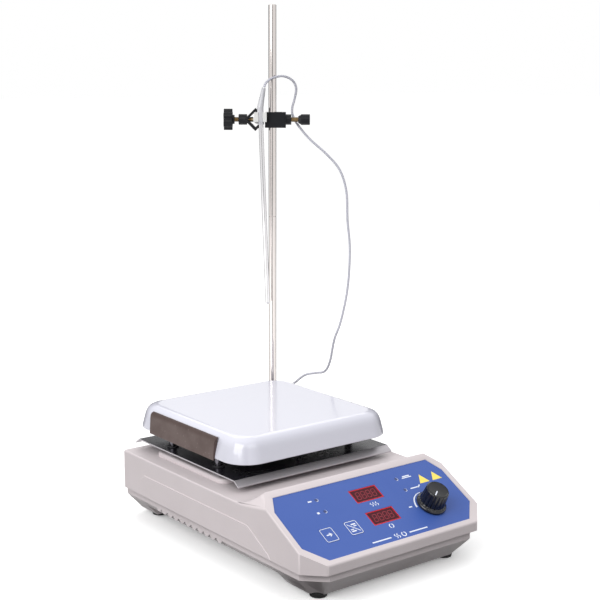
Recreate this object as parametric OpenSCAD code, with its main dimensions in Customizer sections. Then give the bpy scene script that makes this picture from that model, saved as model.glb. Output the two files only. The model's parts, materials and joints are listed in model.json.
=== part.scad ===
// Hot-plate magnetic stirrer with a support rod, a rod clamp and a temperature probe.
// X is to the right, Y is to the rear and Z is up. The origin is on the bench,
// under the middle of the housing.

/* [Housing] */
// Width of the housing
body_w = 205; // [203:0.5:207]
// Length of the housing, front to rear
body_l = 297; // [295:0.5:299]
// Height of the seam between the base tray and the upper shell
seam_z = 29; // [28:0.5:30]
// Height of the flat top of the upper shell
top_z = 66.5; // [66:0.5:67]
// Wall thickness of the mouldings
wall = 3; // [2.8:0.1:3.2]
// Cut across each front corner, seen from above
corner_cut = 17; // [16:0.5:18]
// Radius of each rear corner
rear_r = 2.5; // [2:0.5:4]
// How far the raised side fields stand out
side_field = 0.6; // [0.4:0.1:1]

/* [Control panel] */
// Slope of the control panel
panel_slope = 28.7; // [28:0.1:29.5]
// Lower edge of the panel overlay, behind the middle of the housing
panel_y = -143.6; // [-144.5:0.1:-143]
// Height of the lower edge of the panel overlay
panel_z = 39.4; // [39:0.1:40]
// Half the width of the overlay
overlay_half_w = 96.6; // [95:0.1:97]
// Length of the overlay, up the slope
overlay_l = 76.5; // [75:0.5:77]
// How far the rim stands above the overlay
rim_h = 0.7; // [0.5:0.1:1]
// Width of each display window
window_w = 30.9; // [30:0.1:32]
// Height of each display window
window_h = 15.6; // [15:0.1:16.5]
// Largest diameter of the speed knob
knob_d = 28.2; // [25:0.1:30]
// Height of the speed knob
knob_h = 18; // [17:0.5:19]
// Direction of the knob's pointer at rest, clockwise from straight up
pointer_turn = 57; // [0:1:90]

/* [Top plate] */
// Distance of the plate's centre behind the middle of the housing
plate_y = 58.8; // [58:0.1:60]
// Half the size of the skirt at its lower edge
skirt_half = 90.6; // [90:0.1:91]
// Height of the skirt's lower edge
skirt_z = 90.5; // [90:0.1:91]
// Half the size of the flat on top
flat_half = 75.7; // [75:0.1:76.5]
// Height of the flat on top
plate_z = 112.9; // [112.5:0.1:113.5]

/* [Rod and clamp] */
// Diameter of the support rod
rod_d = 8; // [8:0.1:8]
// Height of the top of the rod
rod_top = 497; // [490:1:500]
// Height of the joint between the two rod sections
rod_joint = 282; // [278:1:286]
// Height of the clamp's screws
clamp_z = 381.7; // [375:0.1:382]
// Turn of the clamp about the rod, clockwise seen from above
clamp_turn = 37.9; // [37:0.1:39]
// Length of the probe below its holder
probe_l = 194; // [185:1:196]
// Diameter of the probe's cable
cable_d = 2.4; // [2.2:0.1:3]

/* [Hidden] */
$fn = 48;
eps = 0.01;

// Fits
run_gap = 0.05;
screw_gap = 0.05;

// Control panel features, as [across, up the slope]
temp_at = [0.9, 55.7];
rpm_at = [0.2, 28.7];
unit_key_at = [-63.1, 24.6];
mode_key_at = [-36.1, 25.0];
key_size = [13.2, 15];
key_gap = 0.2;
key_r = 1.6;
led_at = [[-50.3, 62.8], [-50.3, 48.9], [42, 63], [42, 49]];
led_r = 1.5;
knob_at = [55, 26.6];
board_bosses = [[-70, 12], [70, 12], [-70, 64], [70, 64]];
board_h = -12;
board_t = 1.6;
overlay_t = 0.5;
pane_t = 1.8;

// Back of the hood: a hollow curve that lands on the flat top
hood_foot_y = -40;
hood_r = 39;
hood_corner = [92.5, -70.9, 79.8];
hood_facet = [0, 46.4, 8.4];

// Screw posts between tray and shell
post_split_z = 32;
shell_posts = [[-84, -70], [84, -70], [-84, 104], [84, 104]];
foot_x = 72.5;
foot_y = [-119.8, 130.6];
feet = [for (x = [-foot_x, foot_x], y = foot_y) [x, y]];
foot_h = 3.5;
foot_r = 8;

// Vent louvres low on each side
vent_count = 10;
vent_pitch = 10.2;
vent_y0 = -11;
vent_z = 23.2;

// Raised platform on the shell, and what stands on it
platform_w = 172;
platform_l = 116;
platform_h = 4;
platform_r = 10;
platform_z = top_z + platform_h;
plate_legs = [for (x = [-77, 77], y = [-38.5, 38.5]) [x, plate_y + y]];
stud_r = 2;
shield_z = 77.4;
shield_t = 1.2;
shield_x = 89.8;
shield_y = [-22.4, 139.2];
shield_lip = [6.8, 4.6];
washer_t = 1.2;
cover_z = 91;

// Rear wall
rear_y = body_l / 2;
inlet_at = [-52, 48.5];
switch_at = [-8, 48.5];
socket_at = [45, 47];
bracket_w = 24;
bracket_z = [32, top_z];
bracket_depth = 18;
bracket_screw_dx = 8.2;
bracket_screw_z = 49;
rod_r = rod_d / 2;
rod_x = 85.4;
rod_y = 156.1;
rod_foot_z = 35;
stud_l = 12;

// Clamp, measured from the rod's axis along the clamp's screws
screw_r = 2.5;
diamond_at = -17.4;
diamond_out = 16.5;
diamond_in = 11.2;
holder_at = -15.4;
probe_at = [-11.8, -11.2, 3.3];
probe_lean = -2.1;
probe_r = 2.4;
sleeve_r = 3.25;

// Power parts inside
board_at = [40, -15];
transformer_at = [-42, -18];
motor_r = 21;
motor_z = [26, 58];
shaft_r = 3;

// Route of the probe's cable, from the sleeve over the clamp's screw, down in a wide bow
// and round the rear corner to the plug
cable_route = [[72, 152.3, 414.6], [74.4, 151.2, 419.6], [81, 149.5, 423.8],
    [92, 147, 425.6], [102, 144.5, 421.5], [107.5, 145, 413.5], [108, 148, 403],
    [106.5, 150.3, 393], [107, 149.5, 385], [111, 146, 375.5], [120, 138, 361.5],
    [133.5, 126, 345.5], [143.5, 117, 329.5], [148.5, 112, 307], [149, 110.5, 278],
    [150.5, 108, 247], [148.5, 108.5, 207], [143.5, 113, 171], [139.5, 119, 150],
    [139.5, 126, 125], [138, 133, 113], [134.5, 144, 109.5], [128.5, 156, 105.5],
    [121, 168, 94], [109, 179, 85], [91, 188, 74], [71, 194, 61], [55, 196, 52],
    [46.5, 191.5, 47.6], [45, 185.5, 47], [45, 180, 47]];
cable_sides = 8;
cable_steps = 2;

// ---------- shared shapes ----------

// Points of an arc about "c", from angle "a" to angle "b"
function arc(c, r, a, b, n = 5) =
    [for (i = [0:n]) c + r * [cos(a + (b - a) * i / n), sin(a + (b - a) * i / n)]];

// Points of a rectangle with rounded corners, centred
function rounded_rect(w, l, r, n = 6) = concat(
    arc([w / 2 - r, l / 2 - r], r, 0, 90, n), arc([r - w / 2, l / 2 - r], r, 90, 180, n),
    arc([r - w / 2, r - l / 2], r, 180, 270, n), arc([w / 2 - r, r - l / 2], r, 270, 360, n));

// Plan of the housing, drawn "d" inside its outer face
function plan_points(d) = let (
        w = body_w / 2 - d,
        l = body_l / 2 - d,
        c = corner_cut - 0.586 * d,
        r = max(rear_r - d, 1)
    ) concat([[-w, c - l], [c - w, -l], [w - c, -l], [w, c - l]],
        arc([w - r, l - r], r, 0, 90), arc([r - w, l - r], r, 90, 180));

// Height of the panel's face, "d" inside the rim, at distance "y"
function panel_face_z(y, d) =
    panel_z + (y - panel_y) * tan(panel_slope) + (rim_h - d) / cos(panel_slope);

// Point of the hood's hollow back, "d" inside its surface
function hood_point(t, d) =
    [hood_foot_y - (hood_r + d) * sin(t), top_z + hood_r - (hood_r + d) * cos(t)];

// Angle at which the hood's back meets the panel's face
function hood_angle(d, lo = 10, hi = 80, n = 20) = n == 0 ? lo : let (
        mid = (lo + hi) / 2,
        p = hood_point(mid, d),
        below = p[1] < panel_face_z(p[0], d)
    ) hood_angle(d, below ? mid : lo, below ? hi : mid, n - 1);

// Side view of the housing, drawn "d" inside its outer face
function side_points(d) = let (
        l = body_l / 2 - d,
        low = d > 0 ? seam_z - 1 : seam_z,
        t = hood_angle(d)
    ) concat([[l, low], [l, top_z - d]], [for (i = [0:8]) hood_point(t * i / 8, d)],
        [[-l, panel_face_z(-l, d)], [-l, low]]);

// Extrudes a [y, z] outline across the housing
module across(w) rotate([90, 0, 90]) linear_extrude(w, center = true) children();

// Puts things on the control panel, in its own [across, up, out] directions
module on_panel(at = [0, 0], h = 0)
    translate([0, panel_y, panel_z]) rotate([panel_slope, 0, 0])
        translate([at[0], at[1], h]) children();

// Puts things on the rear wall, with their own +Z pointing out of it
module on_rear(x, z, y = rear_y) translate([x, y, z]) rotate([-90, 0, 0]) children();

// Puts things in the clamp's own directions: along its screws, away from the front, up
module on_clamp() translate([rod_x, rod_y, clamp_z]) rotate([0, 0, -clamp_turn]) children();

// Bar along the clamp's screws, from s = a to s = b
module bar(a, b, r1, r2 = undef) translate([a, 0, 0]) rotate([0, 90, 0])
    cylinder(h = b - a, r1 = r1, r2 = is_undef(r2) ? r1 : r2);

module tube(h, r, bore) difference() {
    cylinder(h = h, r = r);
    translate([0, 0, -1]) cylinder(h = h + 2, r = bore);
}

// Box given by its lowest and highest corners
module box(a, b) translate(a) cube(b - a);

// ---------- housing ----------

module hood_corner_cut(side, d) intersection() {
    mirror([side < 0 ? 1 : 0, 0, 0]) translate(hood_corner) rotate(hood_facet)
        translate([-60, -60, -d]) cube([120, 120, 40]);
    translate([-body_w, -88, top_z - d]) cube([2 * body_w, 90, 60]);
}

module housing_block(d) difference() {
    intersection() {
        across(body_w + 4) polygon(side_points(d));
        linear_extrude(100) polygon(plan_points(d));
    }
    hood_corner_cut(1, d);
    hood_corner_cut(-1, d);
}

module platform_block(d) translate([0, plate_y, top_z - wall - 1])
    linear_extrude(platform_h + wall + 1 - d)
        polygon(rounded_rect(platform_w - 2 * d, platform_l - 2 * d, platform_r - d));

module side_fields() across(body_w + 2 * side_field)
    polygon([[-93, seam_z], [116.7, seam_z], [116.7, 44], [109, 50.3], [-60, 50.3], [-90, 33]]);

module overlay_outline() polygon([
    [-overlay_half_w, 18.3], [-overlay_half_w + 16.3, 0],
    [overlay_half_w - 16.3, 0], [overlay_half_w, 18.3],
    [overlay_half_w, overlay_l - 15.8], [overlay_half_w - 8.1, overlay_l],
    [-overlay_half_w + 8.1, overlay_l], [-overlay_half_w, overlay_l - 15.8]]);

module key_hole(at) on_panel(at, -6) linear_extrude(10)
    polygon(rounded_rect(key_size[0] + 2 * key_gap, key_size[1] + 2 * key_gap, key_r));

module window_hole(at) on_panel(at, -3) linear_extrude(6)
    square([window_w, window_h], center = true);

module panel_holes() {
    window_hole(temp_at);
    window_hole(rpm_at);
    key_hole(unit_key_at);
    key_hole(mode_key_at);
    for (at = led_at) on_panel(at, -6) cylinder(h = 10, r = led_r + 0.1);
    on_panel(knob_at, -6) cylinder(h = 10, r = 3.6);
}

module rear_holes() {
    translate([inlet_at[0] - 14.2, rear_y - 6, inlet_at[1] - 14.2]) cube([28.4, 8, 28.4]);
    for (dx = [-20, 20]) on_rear(inlet_at[0] + dx, inlet_at[1], rear_y - 6)
        cylinder(h = 8, r = 1.5 + screw_gap);
    translate([switch_at[0] - 8.6, rear_y - 6, switch_at[1] - 12.6]) cube([17.2, 8, 25.2]);
    on_rear(socket_at[0], socket_at[1], rear_y - 6) cylinder(h = 8, r = 7.6);
    for (dx = [-1, 1]) on_rear(rod_x + dx * bracket_screw_dx, bracket_screw_z, rear_y - 6)
        cylinder(h = 8, r = stud_r + screw_gap);
}

module shell_bosses() intersection() {
    housing_block(1);
    union() {
        for (p = shell_posts) translate([p[0], p[1], post_split_z]) cylinder(h = 60, r = 4.5);
        for (p = board_bosses) on_panel(p, board_h) cylinder(h = 14, r = 3);
        for (x = [-38, 38], y = [-20, 20]) translate([x, plate_y + y, motor_z[1] + 1.5])
            cylinder(h = 20, r = 4);
    }
}

module upper_shell() color([0.8, 0.77, 0.775]) difference() {
    union() {
        difference() {
            union() {
                housing_block(0);
                platform_block(0);
                side_fields();
            }
            housing_block(wall);
            platform_block(wall);
        }
        shell_bosses();
        for (x = [-38, 38], y = [-20, 20]) translate([x, plate_y + y, top_z - 6])
            cylinder(h = platform_h + 4, r = 4);
    }
    on_panel([0, 0], -overlay_t) linear_extrude(8) overlay_outline();
    panel_holes();
    rear_holes();
    for (p = shell_posts) translate([p[0], p[1], post_split_z - 1])
        cylinder(h = 15, r = 1.9 + screw_gap);
    for (p = board_bosses) on_panel(p, board_h - 1) cylinder(h = 10, r = 1.2 + screw_gap);
    for (x = [-38, 38], y = [-20, 20]) translate([x, plate_y + y, motor_z[1]])
        cylinder(h = 9, r = 1.5 + screw_gap);
    for (p = plate_legs) translate([p[0], p[1], top_z - 6])
        cylinder(h = 14, r = stud_r + screw_gap);
    translate([0, plate_y, top_z - 6]) cylinder(h = 14, r = 6);
}

// Plan of the tray: half width "w", front at "f", rear at "b", front corners cut by "c"
module tray_slice(w, f, b, c, z) translate([0, 0, z]) linear_extrude(eps)
    polygon([[-w, c - f], [c - w, -f], [w - c, -f], [w, c - f], [w, b], [-w, b]]);

tray_w = body_w / 2 - 4;
tray_f = body_l / 2 - 4;

// Pan of the tray, "d" inside its face: a band, a steep flank and a shallow one to the bottom
module tray_pan(d, top) hull() {
    tray_slice(tray_w - d, tray_f - d, rear_y - d, 17.8 - 0.586 * d, top);
    tray_slice(tray_w - d, tray_f - d, rear_y - d, 17.8 - 0.586 * d, 21.5 + 0.4 * d);
    tray_slice(tray_w - 5.8 - d, tray_f - 6 - d, rear_y - d, 15 - 0.586 * d, 15 + 0.5 * d);
    tray_slice(tray_w - 25.5 - d, tray_f - 16 - d, rear_y - d, 9 - 0.586 * d, foot_h + 0.85 * d);
}

// The ends of the tray go down steeply at the sides, and carry the feet
module tray_end(d, y0, y1) intersection() {
    hull() {
        tray_slice(tray_w - d, tray_f - d, rear_y - d, 17.8 - 0.586 * d, 27);
        tray_slice(tray_w - d, tray_f - d, rear_y - d, 17.8 - 0.586 * d, 21.5 + 0.4 * d);
        tray_slice(tray_w - 16.5 - d, tray_f - 16 - d, rear_y - d, 9.6 - 0.586 * d,
            foot_h + 0.85 * d);
    }
    box([-body_w, y0, 0], [body_w, y1, 28]);
}

// Wall that stands up inside the shell
module tray_lip(d) hull() {
    tray_slice(tray_w - d, tray_f - d, rear_y - 4 - d, 17.8 - 0.586 * d, 24);
    tray_slice(tray_w - d, tray_f - d, rear_y - 4 - d, 17.8 - 0.586 * d, post_split_z - eps + d / 2);
}

module tray_outer() {
    tray_pan(0, seam_z - 0.3);
    tray_end(0, -body_l, -89);
    tray_end(0, 120, body_l);
    tray_lip(0);
}

module tray_inner() {
    tray_pan(wall, 26);
    tray_end(wall, -body_l, -92);
    tray_end(wall, 123, body_l);
    tray_lip(wall);
}

// One row of louvre ribs hangs low along each side, with slots between them
module louvre_ribs() for (side = [-1, 1]) {
    for (i = [0:vent_count - 1])
        translate([side * 88, vent_y0 + i * vent_pitch, vent_z]) rotate([0, side * 90, 0])
            cylinder(h = 10.4, r = 4.6);
    translate([side * 93.2 - 5.2, vent_y0 + (vent_count - 0.4) * vent_pitch, 19.2])
        cube([10.4, 6.6, 4]);
}

module louvre_slots() for (side = [-1, 1], i = [0:vent_count])
    translate([side * 94 - 9, vent_y0 + (i - 0.5) * vent_pitch - 0.9, 17])
        cube([18, 1.8, 4.2]);

module base_tray() color([0.78, 0.75, 0.755]) difference() {
    union() {
        difference() {
            union() {
                tray_outer();
                louvre_ribs();
            }
            tray_inner();
        }
        intersection() {
            tray_outer();
            union() {
                for (p = shell_posts) translate([p[0], p[1], foot_h]) cylinder(h = 33.5, r = 5.6);
                for (p = feet) translate([p[0], p[1], foot_h]) {
                    cylinder(h = 6, r = 10.5);
                    cylinder(h = 14.5, r = 5);
                }
                for (x = [-28, 28], y = [-31, 31])
                    translate([board_at[0] + x, board_at[1] + y, foot_h])
                        cylinder(h = 20 - foot_h, r = 3.5);
            }
        }
    }
    louvre_slots();
    for (p = shell_posts) {
        translate([p[0], p[1], -1]) cylinder(h = 21, r = 3.8);
        translate([p[0], p[1], -1]) cylinder(h = 40, r = 1.9 + screw_gap);
    }
    for (p = feet) {
        translate([p[0], p[1], foot_h - 1]) cylinder(h = 3.5, r = foot_r + 0.1);
        translate([p[0], p[1], -1]) cylinder(h = 17, r = 1.9 + screw_gap);
    }
    for (x = [-28, 28], y = [-31, 31]) translate([board_at[0] + x, board_at[1] + y, 12])
        cylinder(h = 12, r = 1.2 + screw_gap);
}

module rubber_feet() color([0.06, 0.06, 0.06]) for (p = feet) translate([p[0], p[1], 0])
    difference() {
        union() {
            cylinder(h = foot_h - 0.2, r1 = foot_r - 0.6, r2 = foot_r);
            cylinder(h = foot_h + 2.5, r = foot_r - 0.6);
        }
        translate([0, 0, -1]) cylinder(h = 4.6, r = 4);
        translate([0, 0, -1]) cylinder(h = 10, r = 1.9 + screw_gap);
    }

module pan_screw(head_r, head_h, r, l) {
    translate([0, 0, -head_h]) cylinder(h = head_h, r = head_r);
    cylinder(h = l, r = r);
}

module foot_screws() color("silver") for (p = feet)
    translate([p[0], p[1], 3.6]) pan_screw(3.5, 2.4, 1.9, 11.4);

module shell_screws() color("silver") for (p = shell_posts)
    translate([p[0], p[1], 20]) pan_screw(3.5, 2.4, 1.9, 24);

// ---------- control panel ----------

module panel_overlay() color([0.29, 0.42, 0.72]) difference() {
    on_panel([0, 0], -overlay_t) linear_extrude(overlay_t) overlay_outline();
    panel_holes();
}

module window_pane(at) color([0.55, 0.06, 0.12]) on_panel(at, -pane_t)
    linear_extrude(pane_t - 0.05) square([window_w - 0.3, window_h - 0.3], center = true);

module temp_window() window_pane(temp_at);

module rpm_window() window_pane(rpm_at);

module digit_displays() color([0.15, 0.02, 0.03]) for (at = [temp_at, rpm_at])
    on_panel(at, board_h) linear_extrude(-board_h - pane_t - 0.2)
        square([window_w - 1.2, window_h - 1.2], center = true);

module indicator_leds() color([0.75, 0.8, 0.9]) for (at = led_at) on_panel(at, board_h) {
    cylinder(h = -board_h - 0.1, r = led_r);
    cylinder(h = -board_h - 3.2, r = led_r + 0.5);
}

module key_cap(at) color([0.29, 0.42, 0.72]) on_panel(at, -1.5) linear_extrude(1.7)
    polygon(rounded_rect(key_size[0], key_size[1], key_r));

module unit_key() key_cap(unit_key_at);

module mode_key() key_cap(mode_key_at);

module key_switches() color([0.2, 0.2, 0.2]) for (at = [unit_key_at, mode_key_at])
    on_panel(at, board_h) {
        translate([-3, -3, 0]) cube([6, 6, 4]);
        cylinder(h = -board_h - 2.1, r = 1.7);
    }

module control_board() color([0.1, 0.4, 0.2]) difference() {
    on_panel([0, 0], board_h - board_t) union() {
        translate([-75, 8, 0]) cube([150, 60, board_t]);
        translate([-40, 46, -6]) cube([26, 12, 6]);
        translate([-20, 14, -3]) cube([14, 14, 3]);
    }
    for (p = board_bosses) on_panel(p, board_h - 4) cylinder(h = 8, r = 1.6);
}

module board_screws() color("silver") {
    for (p = board_bosses) on_panel(p, board_h - board_t) pan_screw(2.6, 1.8, 1.2, 9);
    for (x = [-28, 28], y = [-31, 31])
        translate([board_at[0] + x, board_at[1] + y, 20 + board_t]) mirror([0, 0, 1])
            pan_screw(2.6, 1.8, 1.2, 8);
}

module potentiometer() color([0.35, 0.35, 0.38]) on_panel(knob_at) difference() {
    union() {
        translate([0, 0, board_h]) cylinder(h = -board_h - 2.4, r = 8.2);
        translate([0, 0, -3]) cylinder(h = 6.5, r = 3.5);
        cylinder(h = 2, r = 5.8, $fn = 6);
    }
    translate([0, 0, board_h + 2]) cylinder(h = 30, r = shaft_r + run_gap);
}

module pot_shaft() color("silver") on_panel(knob_at, board_h + 2.3)
    cylinder(h = 13.8 - board_h, r = shaft_r);

// The skirted knob: ribbed barrel, dished base and a slot for the pointer
module speed_knob() color([0.06, 0.06, 0.09]) on_panel(knob_at, 0.6) difference() {
    rotate_extrude() polygon([[0, 0], [knob_d / 2 - 0.6, 0], [knob_d / 2, 1],
        [knob_d / 2 - 0.6, 2.6], [knob_d / 2 - 1.9, 3.4], [10.5, knob_h - 1.2],
        [9.6, knob_h - 0.2], [9.1, knob_h], [8.4, knob_h - 0.4], [0, knob_h - 0.4]]);
    translate([0, 0, -1]) cylinder(h = 4.4, r = 7);
    translate([0, 0, -1]) cylinder(h = 17, r = shaft_r);
    rotate([0, 0, -pointer_turn]) translate([-0.5, 1.5, knob_h - 0.9]) cube([1, 7.5, 2]);
}

// ---------- inside the housing ----------

module power_board() color([0.15, 0.35, 0.2]) translate([board_at[0], board_at[1], 20])
    difference() {
        union() {
            translate([-32, -35, 0]) cube([64, 70, board_t]);
            translate([-20, 8, board_t]) cylinder(h = 20, r = 8);
            translate([0, 12, board_t]) cylinder(h = 16, r = 6);
            translate([10, -6, board_t]) cube([16, 20, 15]);
            translate([-24, -26, board_t]) cube([40, 4, 24]);
            translate([-10, -18, board_t]) cube([20, 14, 14]);
        }
        for (x = [-28, 28], y = [-31, 31]) translate([x, y, -1]) cylinder(h = 4, r = 1.6);
    }

module transformer_core() color([0.3, 0.3, 0.32])
    translate([transformer_at[0], transformer_at[1], foot_h + 2.7]) difference() {
        translate([-28, -17, 0]) cube([56, 34, 44]);
        for (x = [-19, 9.5]) translate([x, -18, 9]) cube([9.5, 36, 26]);
    }

module transformer_coil() color([0.7, 0.45, 0.2])
    translate([transformer_at[0], transformer_at[1], foot_h + 2.7]) difference() {
        translate([-18.8, -24, 9.2]) cube([37.6, 48, 25.6]);
        translate([-9.7, -17.2, 8]) cube([19.4, 34.4, 28]);
    }

module motor() color([0.5, 0.5, 0.52]) translate([0, plate_y, 0]) difference() {
    union() {
        translate([0, 0, motor_z[0]]) cylinder(h = motor_z[1] - motor_z[0], r = motor_r);
        translate([0, 0, motor_z[1]]) cylinder(h = 3, r = 5);
    }
    translate([0, 0, motor_z[0] + 2]) cylinder(h = 60, r = shaft_r + run_gap);
}

module motor_bracket() color("silver") translate([0, plate_y, motor_z[1]]) difference() {
    translate([-45, -27, 0]) cube([90, 54, 1.5]);
    translate([0, 0, -1]) cylinder(h = 4, r = 5.3);
    for (x = [-38, 38], y = [-20, 20]) translate([x, y, -1]) cylinder(h = 4, r = 1.6);
}

module motor_shaft() color("silver") translate([0, plate_y, motor_z[0] + 2.3])
    cylinder(h = 83.5 - motor_z[0] - 2.3, r = shaft_r);

module magnet_yoke() color([0.45, 0.45, 0.47]) translate([0, plate_y, 80.5]) difference() {
    union() {
        cylinder(h = 3, r = 30);
        translate([0, 0, -1.5]) cylinder(h = 2, r = 7);
    }
    translate([0, 0, -2]) cylinder(h = 6, r = shaft_r);
}

module magnets() color([0.2, 0.2, 0.22]) for (x = [-19, 19])
    translate([x - 6, plate_y - 10, 83.5]) cube([12, 20, 5]);

// ---------- rear wall ----------

module mains_inlet() color([0.08, 0.08, 0.08])
    translate([inlet_at[0], rear_y, inlet_at[1]]) difference() {
        union() {
            box([-14, -22.5, -14], [14, 1, 14]);
            box([-25, 0, -15], [25, 2, 15]);
        }
        box([-12, -14, -2.5], [12, 3, 13]);
        box([-11.8, -14, -12.3], [11.8, 3, -4.7]);
        for (x = [-7, 7]) box([x - 1.05, -24, 1.45], [x + 1.05, -10, 5.55]);
        box([-1.05, -24, 6.45], [1.05, -10, 10.55]);
        for (x = [-20, 20]) translate([x, -1, 0]) rotate([-90, 0, 0])
            cylinder(h = 4, r = 1.5 + screw_gap);
    }

module inlet_contacts() color("gold") translate([inlet_at[0], rear_y, inlet_at[1]]) {
    for (x = [-7, 7]) box([x - 1, -27, 1.5], [x + 1, -3, 5.5]);
    box([-1, -27, 6.5], [1, -3, 10.5]);
}

module fuse_drawer() color([0.12, 0.12, 0.12])
    translate([inlet_at[0], rear_y, inlet_at[1]]) difference() {
        union() {
            box([-11.5, -13.5, -12], [11.5, 2.4, -5]);
            box([-12.6, 2.3, -13], [12.6, 3.8, -4]);
        }
        box([-10.2, -9.9, -11.1], [10.2, -4.3, -4]);
    }

module fuse() color([0.85, 0.85, 0.88])
    translate([inlet_at[0] - 10, rear_y - 7.1, inlet_at[1] - 8.4]) rotate([0, 90, 0])
        cylinder(h = 20, r = 2.6);

module switch_frame() color([0.08, 0.08, 0.08])
    translate([switch_at[0], rear_y, switch_at[1]]) difference() {
        union() {
            box([-8.5, -14.5, -12.5], [8.5, 1, 12.5]);
            box([-9.5, 0, -13.5], [9.5, 2, 13.5]);
        }
        box([-6.8, -10, -10.9], [6.8, 3, 10.9]);
        translate([-7.8, -2.5, 0]) rotate([0, 90, 0]) cylinder(h = 15.6, r = 1.2 + run_gap);
    }

// Drawn tilted to "off", on its two stub pins
module switch_rocker() color([0.7, 0.1, 0.1])
    translate([switch_at[0], rear_y - 2.5, switch_at[1]]) rotate([-8, 0, 0]) {
        box([-6.5, -4, -10], [6.5, 4, 10]);
        translate([-7.6, 0, 0]) rotate([0, 90, 0]) cylinder(h = 15.2, r = 1.2);
    }

module probe_socket() color("silver") on_rear(socket_at[0], socket_at[1]) difference() {
    union() {
        translate([0, 0, -14]) cylinder(h = 15, r = 7.5);
        cylinder(h = 2, r = 10);
        cylinder(h = 8, r = 7.5);
    }
    translate([0, 0, -4]) cylinder(h = 20, r = 6);
}

module probe_plug() color([0.75, 0.75, 0.77]) on_rear(socket_at[0], socket_at[1])
    rotate_extrude() polygon([[0, -3], [5.9, -3], [5.9, 8.6], [8.6, 8.6], [9, 9],
        [9, 20], [8.4, 20.6], [5.6, 20.6], [3.2, rear_plug_l], [0, rear_plug_l]]);

rear_plug_l = 180 - rear_y;

module rear_screws() color("silver") {
    for (dx = [-20, 20]) on_rear(inlet_at[0] + dx, inlet_at[1], rear_y + 2)
        mirror([0, 0, 1]) pan_screw(2.7, 1.6, 1.5, 8);
    for (dx = [-1, 1])
        on_rear(rod_x + dx * bracket_screw_dx, bracket_screw_z, rear_y + bracket_depth - 4)
            mirror([0, 0, 1]) {
                pan_screw(3.5, 2.4, stud_r, bracket_depth + 3);
                translate([0, 0, bracket_depth - 3.2 + wall]) cylinder(h = 3, r = 3.4, $fn = 6);
            }
}

module rod_bracket() color([0.75, 0.73, 0.735]) difference() {
    box([rod_x - bracket_w / 2, rear_y, bracket_z[0]],
        [rod_x + bracket_w / 2, rear_y + bracket_depth, bracket_z[1]]);
    translate([rod_x, rod_y, rod_foot_z]) cylinder(h = 60, r = rod_r + run_gap);
    for (dx = [-1, 1])
        on_rear(rod_x + dx * bracket_screw_dx, bracket_screw_z, rear_y + bracket_depth) {
            translate([0, 0, -40]) cylinder(h = 60, r = stud_r + screw_gap);
            translate([0, 0, -4]) cylinder(h = 6, r = 3.7);
        }
    on_rear(rod_x, 58, rod_y) cylinder(h = 20, r = screw_r + screw_gap);
}

module rod_lock_screw() color([0.2, 0.2, 0.2]) on_rear(rod_x, 58, rod_y + rod_r) difference() {
    translate([0, 0, 0.02]) cylinder(h = 5.6, r = screw_r);
    translate([0, 0, 3]) cylinder(h = 4, r = 1.4, $fn = 6);
}

// ---------- rod ----------

module lower_rod() color([0.75, 0.75, 0.76]) translate([rod_x, rod_y, 0]) difference() {
    rotate_extrude() polygon([[0, rod_foot_z], [rod_r - 0.4, rod_foot_z],
        [rod_r, rod_foot_z + 0.4], [rod_r, rod_joint - 0.3], [rod_r - 0.3, rod_joint],
        [0, rod_joint]]);
    translate([0, 0, rod_joint - stud_l - 1]) cylinder(h = stud_l + 2, r = 3);
}

module upper_rod() color([0.75, 0.75, 0.76]) translate([rod_x, rod_y, 0])
    rotate_extrude() polygon([[0, rod_joint - stud_l], [3 - screw_gap, rod_joint - stud_l],
        [3 - screw_gap, rod_joint], [rod_r - 0.3, rod_joint], [rod_r, rod_joint + 0.3],
        [rod_r, rod_top - 0.8], [rod_r - 0.8, rod_top], [0, rod_top]]);

// ---------- clamp ----------

module clamp_body() color([0.07, 0.07, 0.08]) on_clamp() difference() {
    union() {
        box([-7.5, -7.4, -8.2], [13.8, 7.4, 7.6]);
        bar(13, 19.4, 5.4);
        translate([diamond_at, 0, 0]) rotate([0, 45, 0])
            cube([diamond_out, 12, diamond_out], center = true);
        bar(-34.6, -26, 5.5);
    }
    cylinder(h = 40, r = rod_r + run_gap, center = true);
    box([0, -rod_r - run_gap, -20], [9.6, rod_r + run_gap, 20]);
    bar(8, 21, screw_r + run_gap);
    translate([diamond_at, 0, 0]) rotate([0, 45, 0])
        cube([diamond_in, 20, diamond_in], center = true);
    bar(-36, -21.6, screw_r + run_gap);
}

module rod_screw_pad() color([0.75, 0.6, 0.3]) on_clamp() bar(rod_r + 0.1, 6, screw_r - 0.1);

module rod_screw() color([0.75, 0.6, 0.3]) on_clamp() bar(6.05, 34, screw_r);

module rod_screw_knob() color([0.07, 0.07, 0.08]) on_clamp() difference() {
    union() {
        bar(26.4, 29.4, 3.4, 5);
        bar(29.4, 38, 5.55);
        bar(37.9, 38.5, 5.55, 5);
    }
    bar(20, 34, screw_r);
}

module holder_screw_pad() color([0.75, 0.6, 0.3]) on_clamp() bar(-21.2, -19.6, screw_r - 0.1);

module holder_screw() color([0.75, 0.6, 0.3]) on_clamp() bar(-46, -21.25, screw_r);

// Knob with six hollow grips round its edge
module holder_screw_knob() color([0.07, 0.07, 0.08]) on_clamp() difference() {
    union() {
        bar(-49.8, -41, 10.85);
        bar(-41.2, -38.9, 4.8);
    }
    for (a = [0:60:300]) rotate([a, 0, 0]) translate([0, 12.6, 0]) bar(-51, -40, 4);
    bar(-46, -20, screw_r);
}

module along_probe() translate(probe_at) rotate([0, probe_lean, 0]) children();

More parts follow.
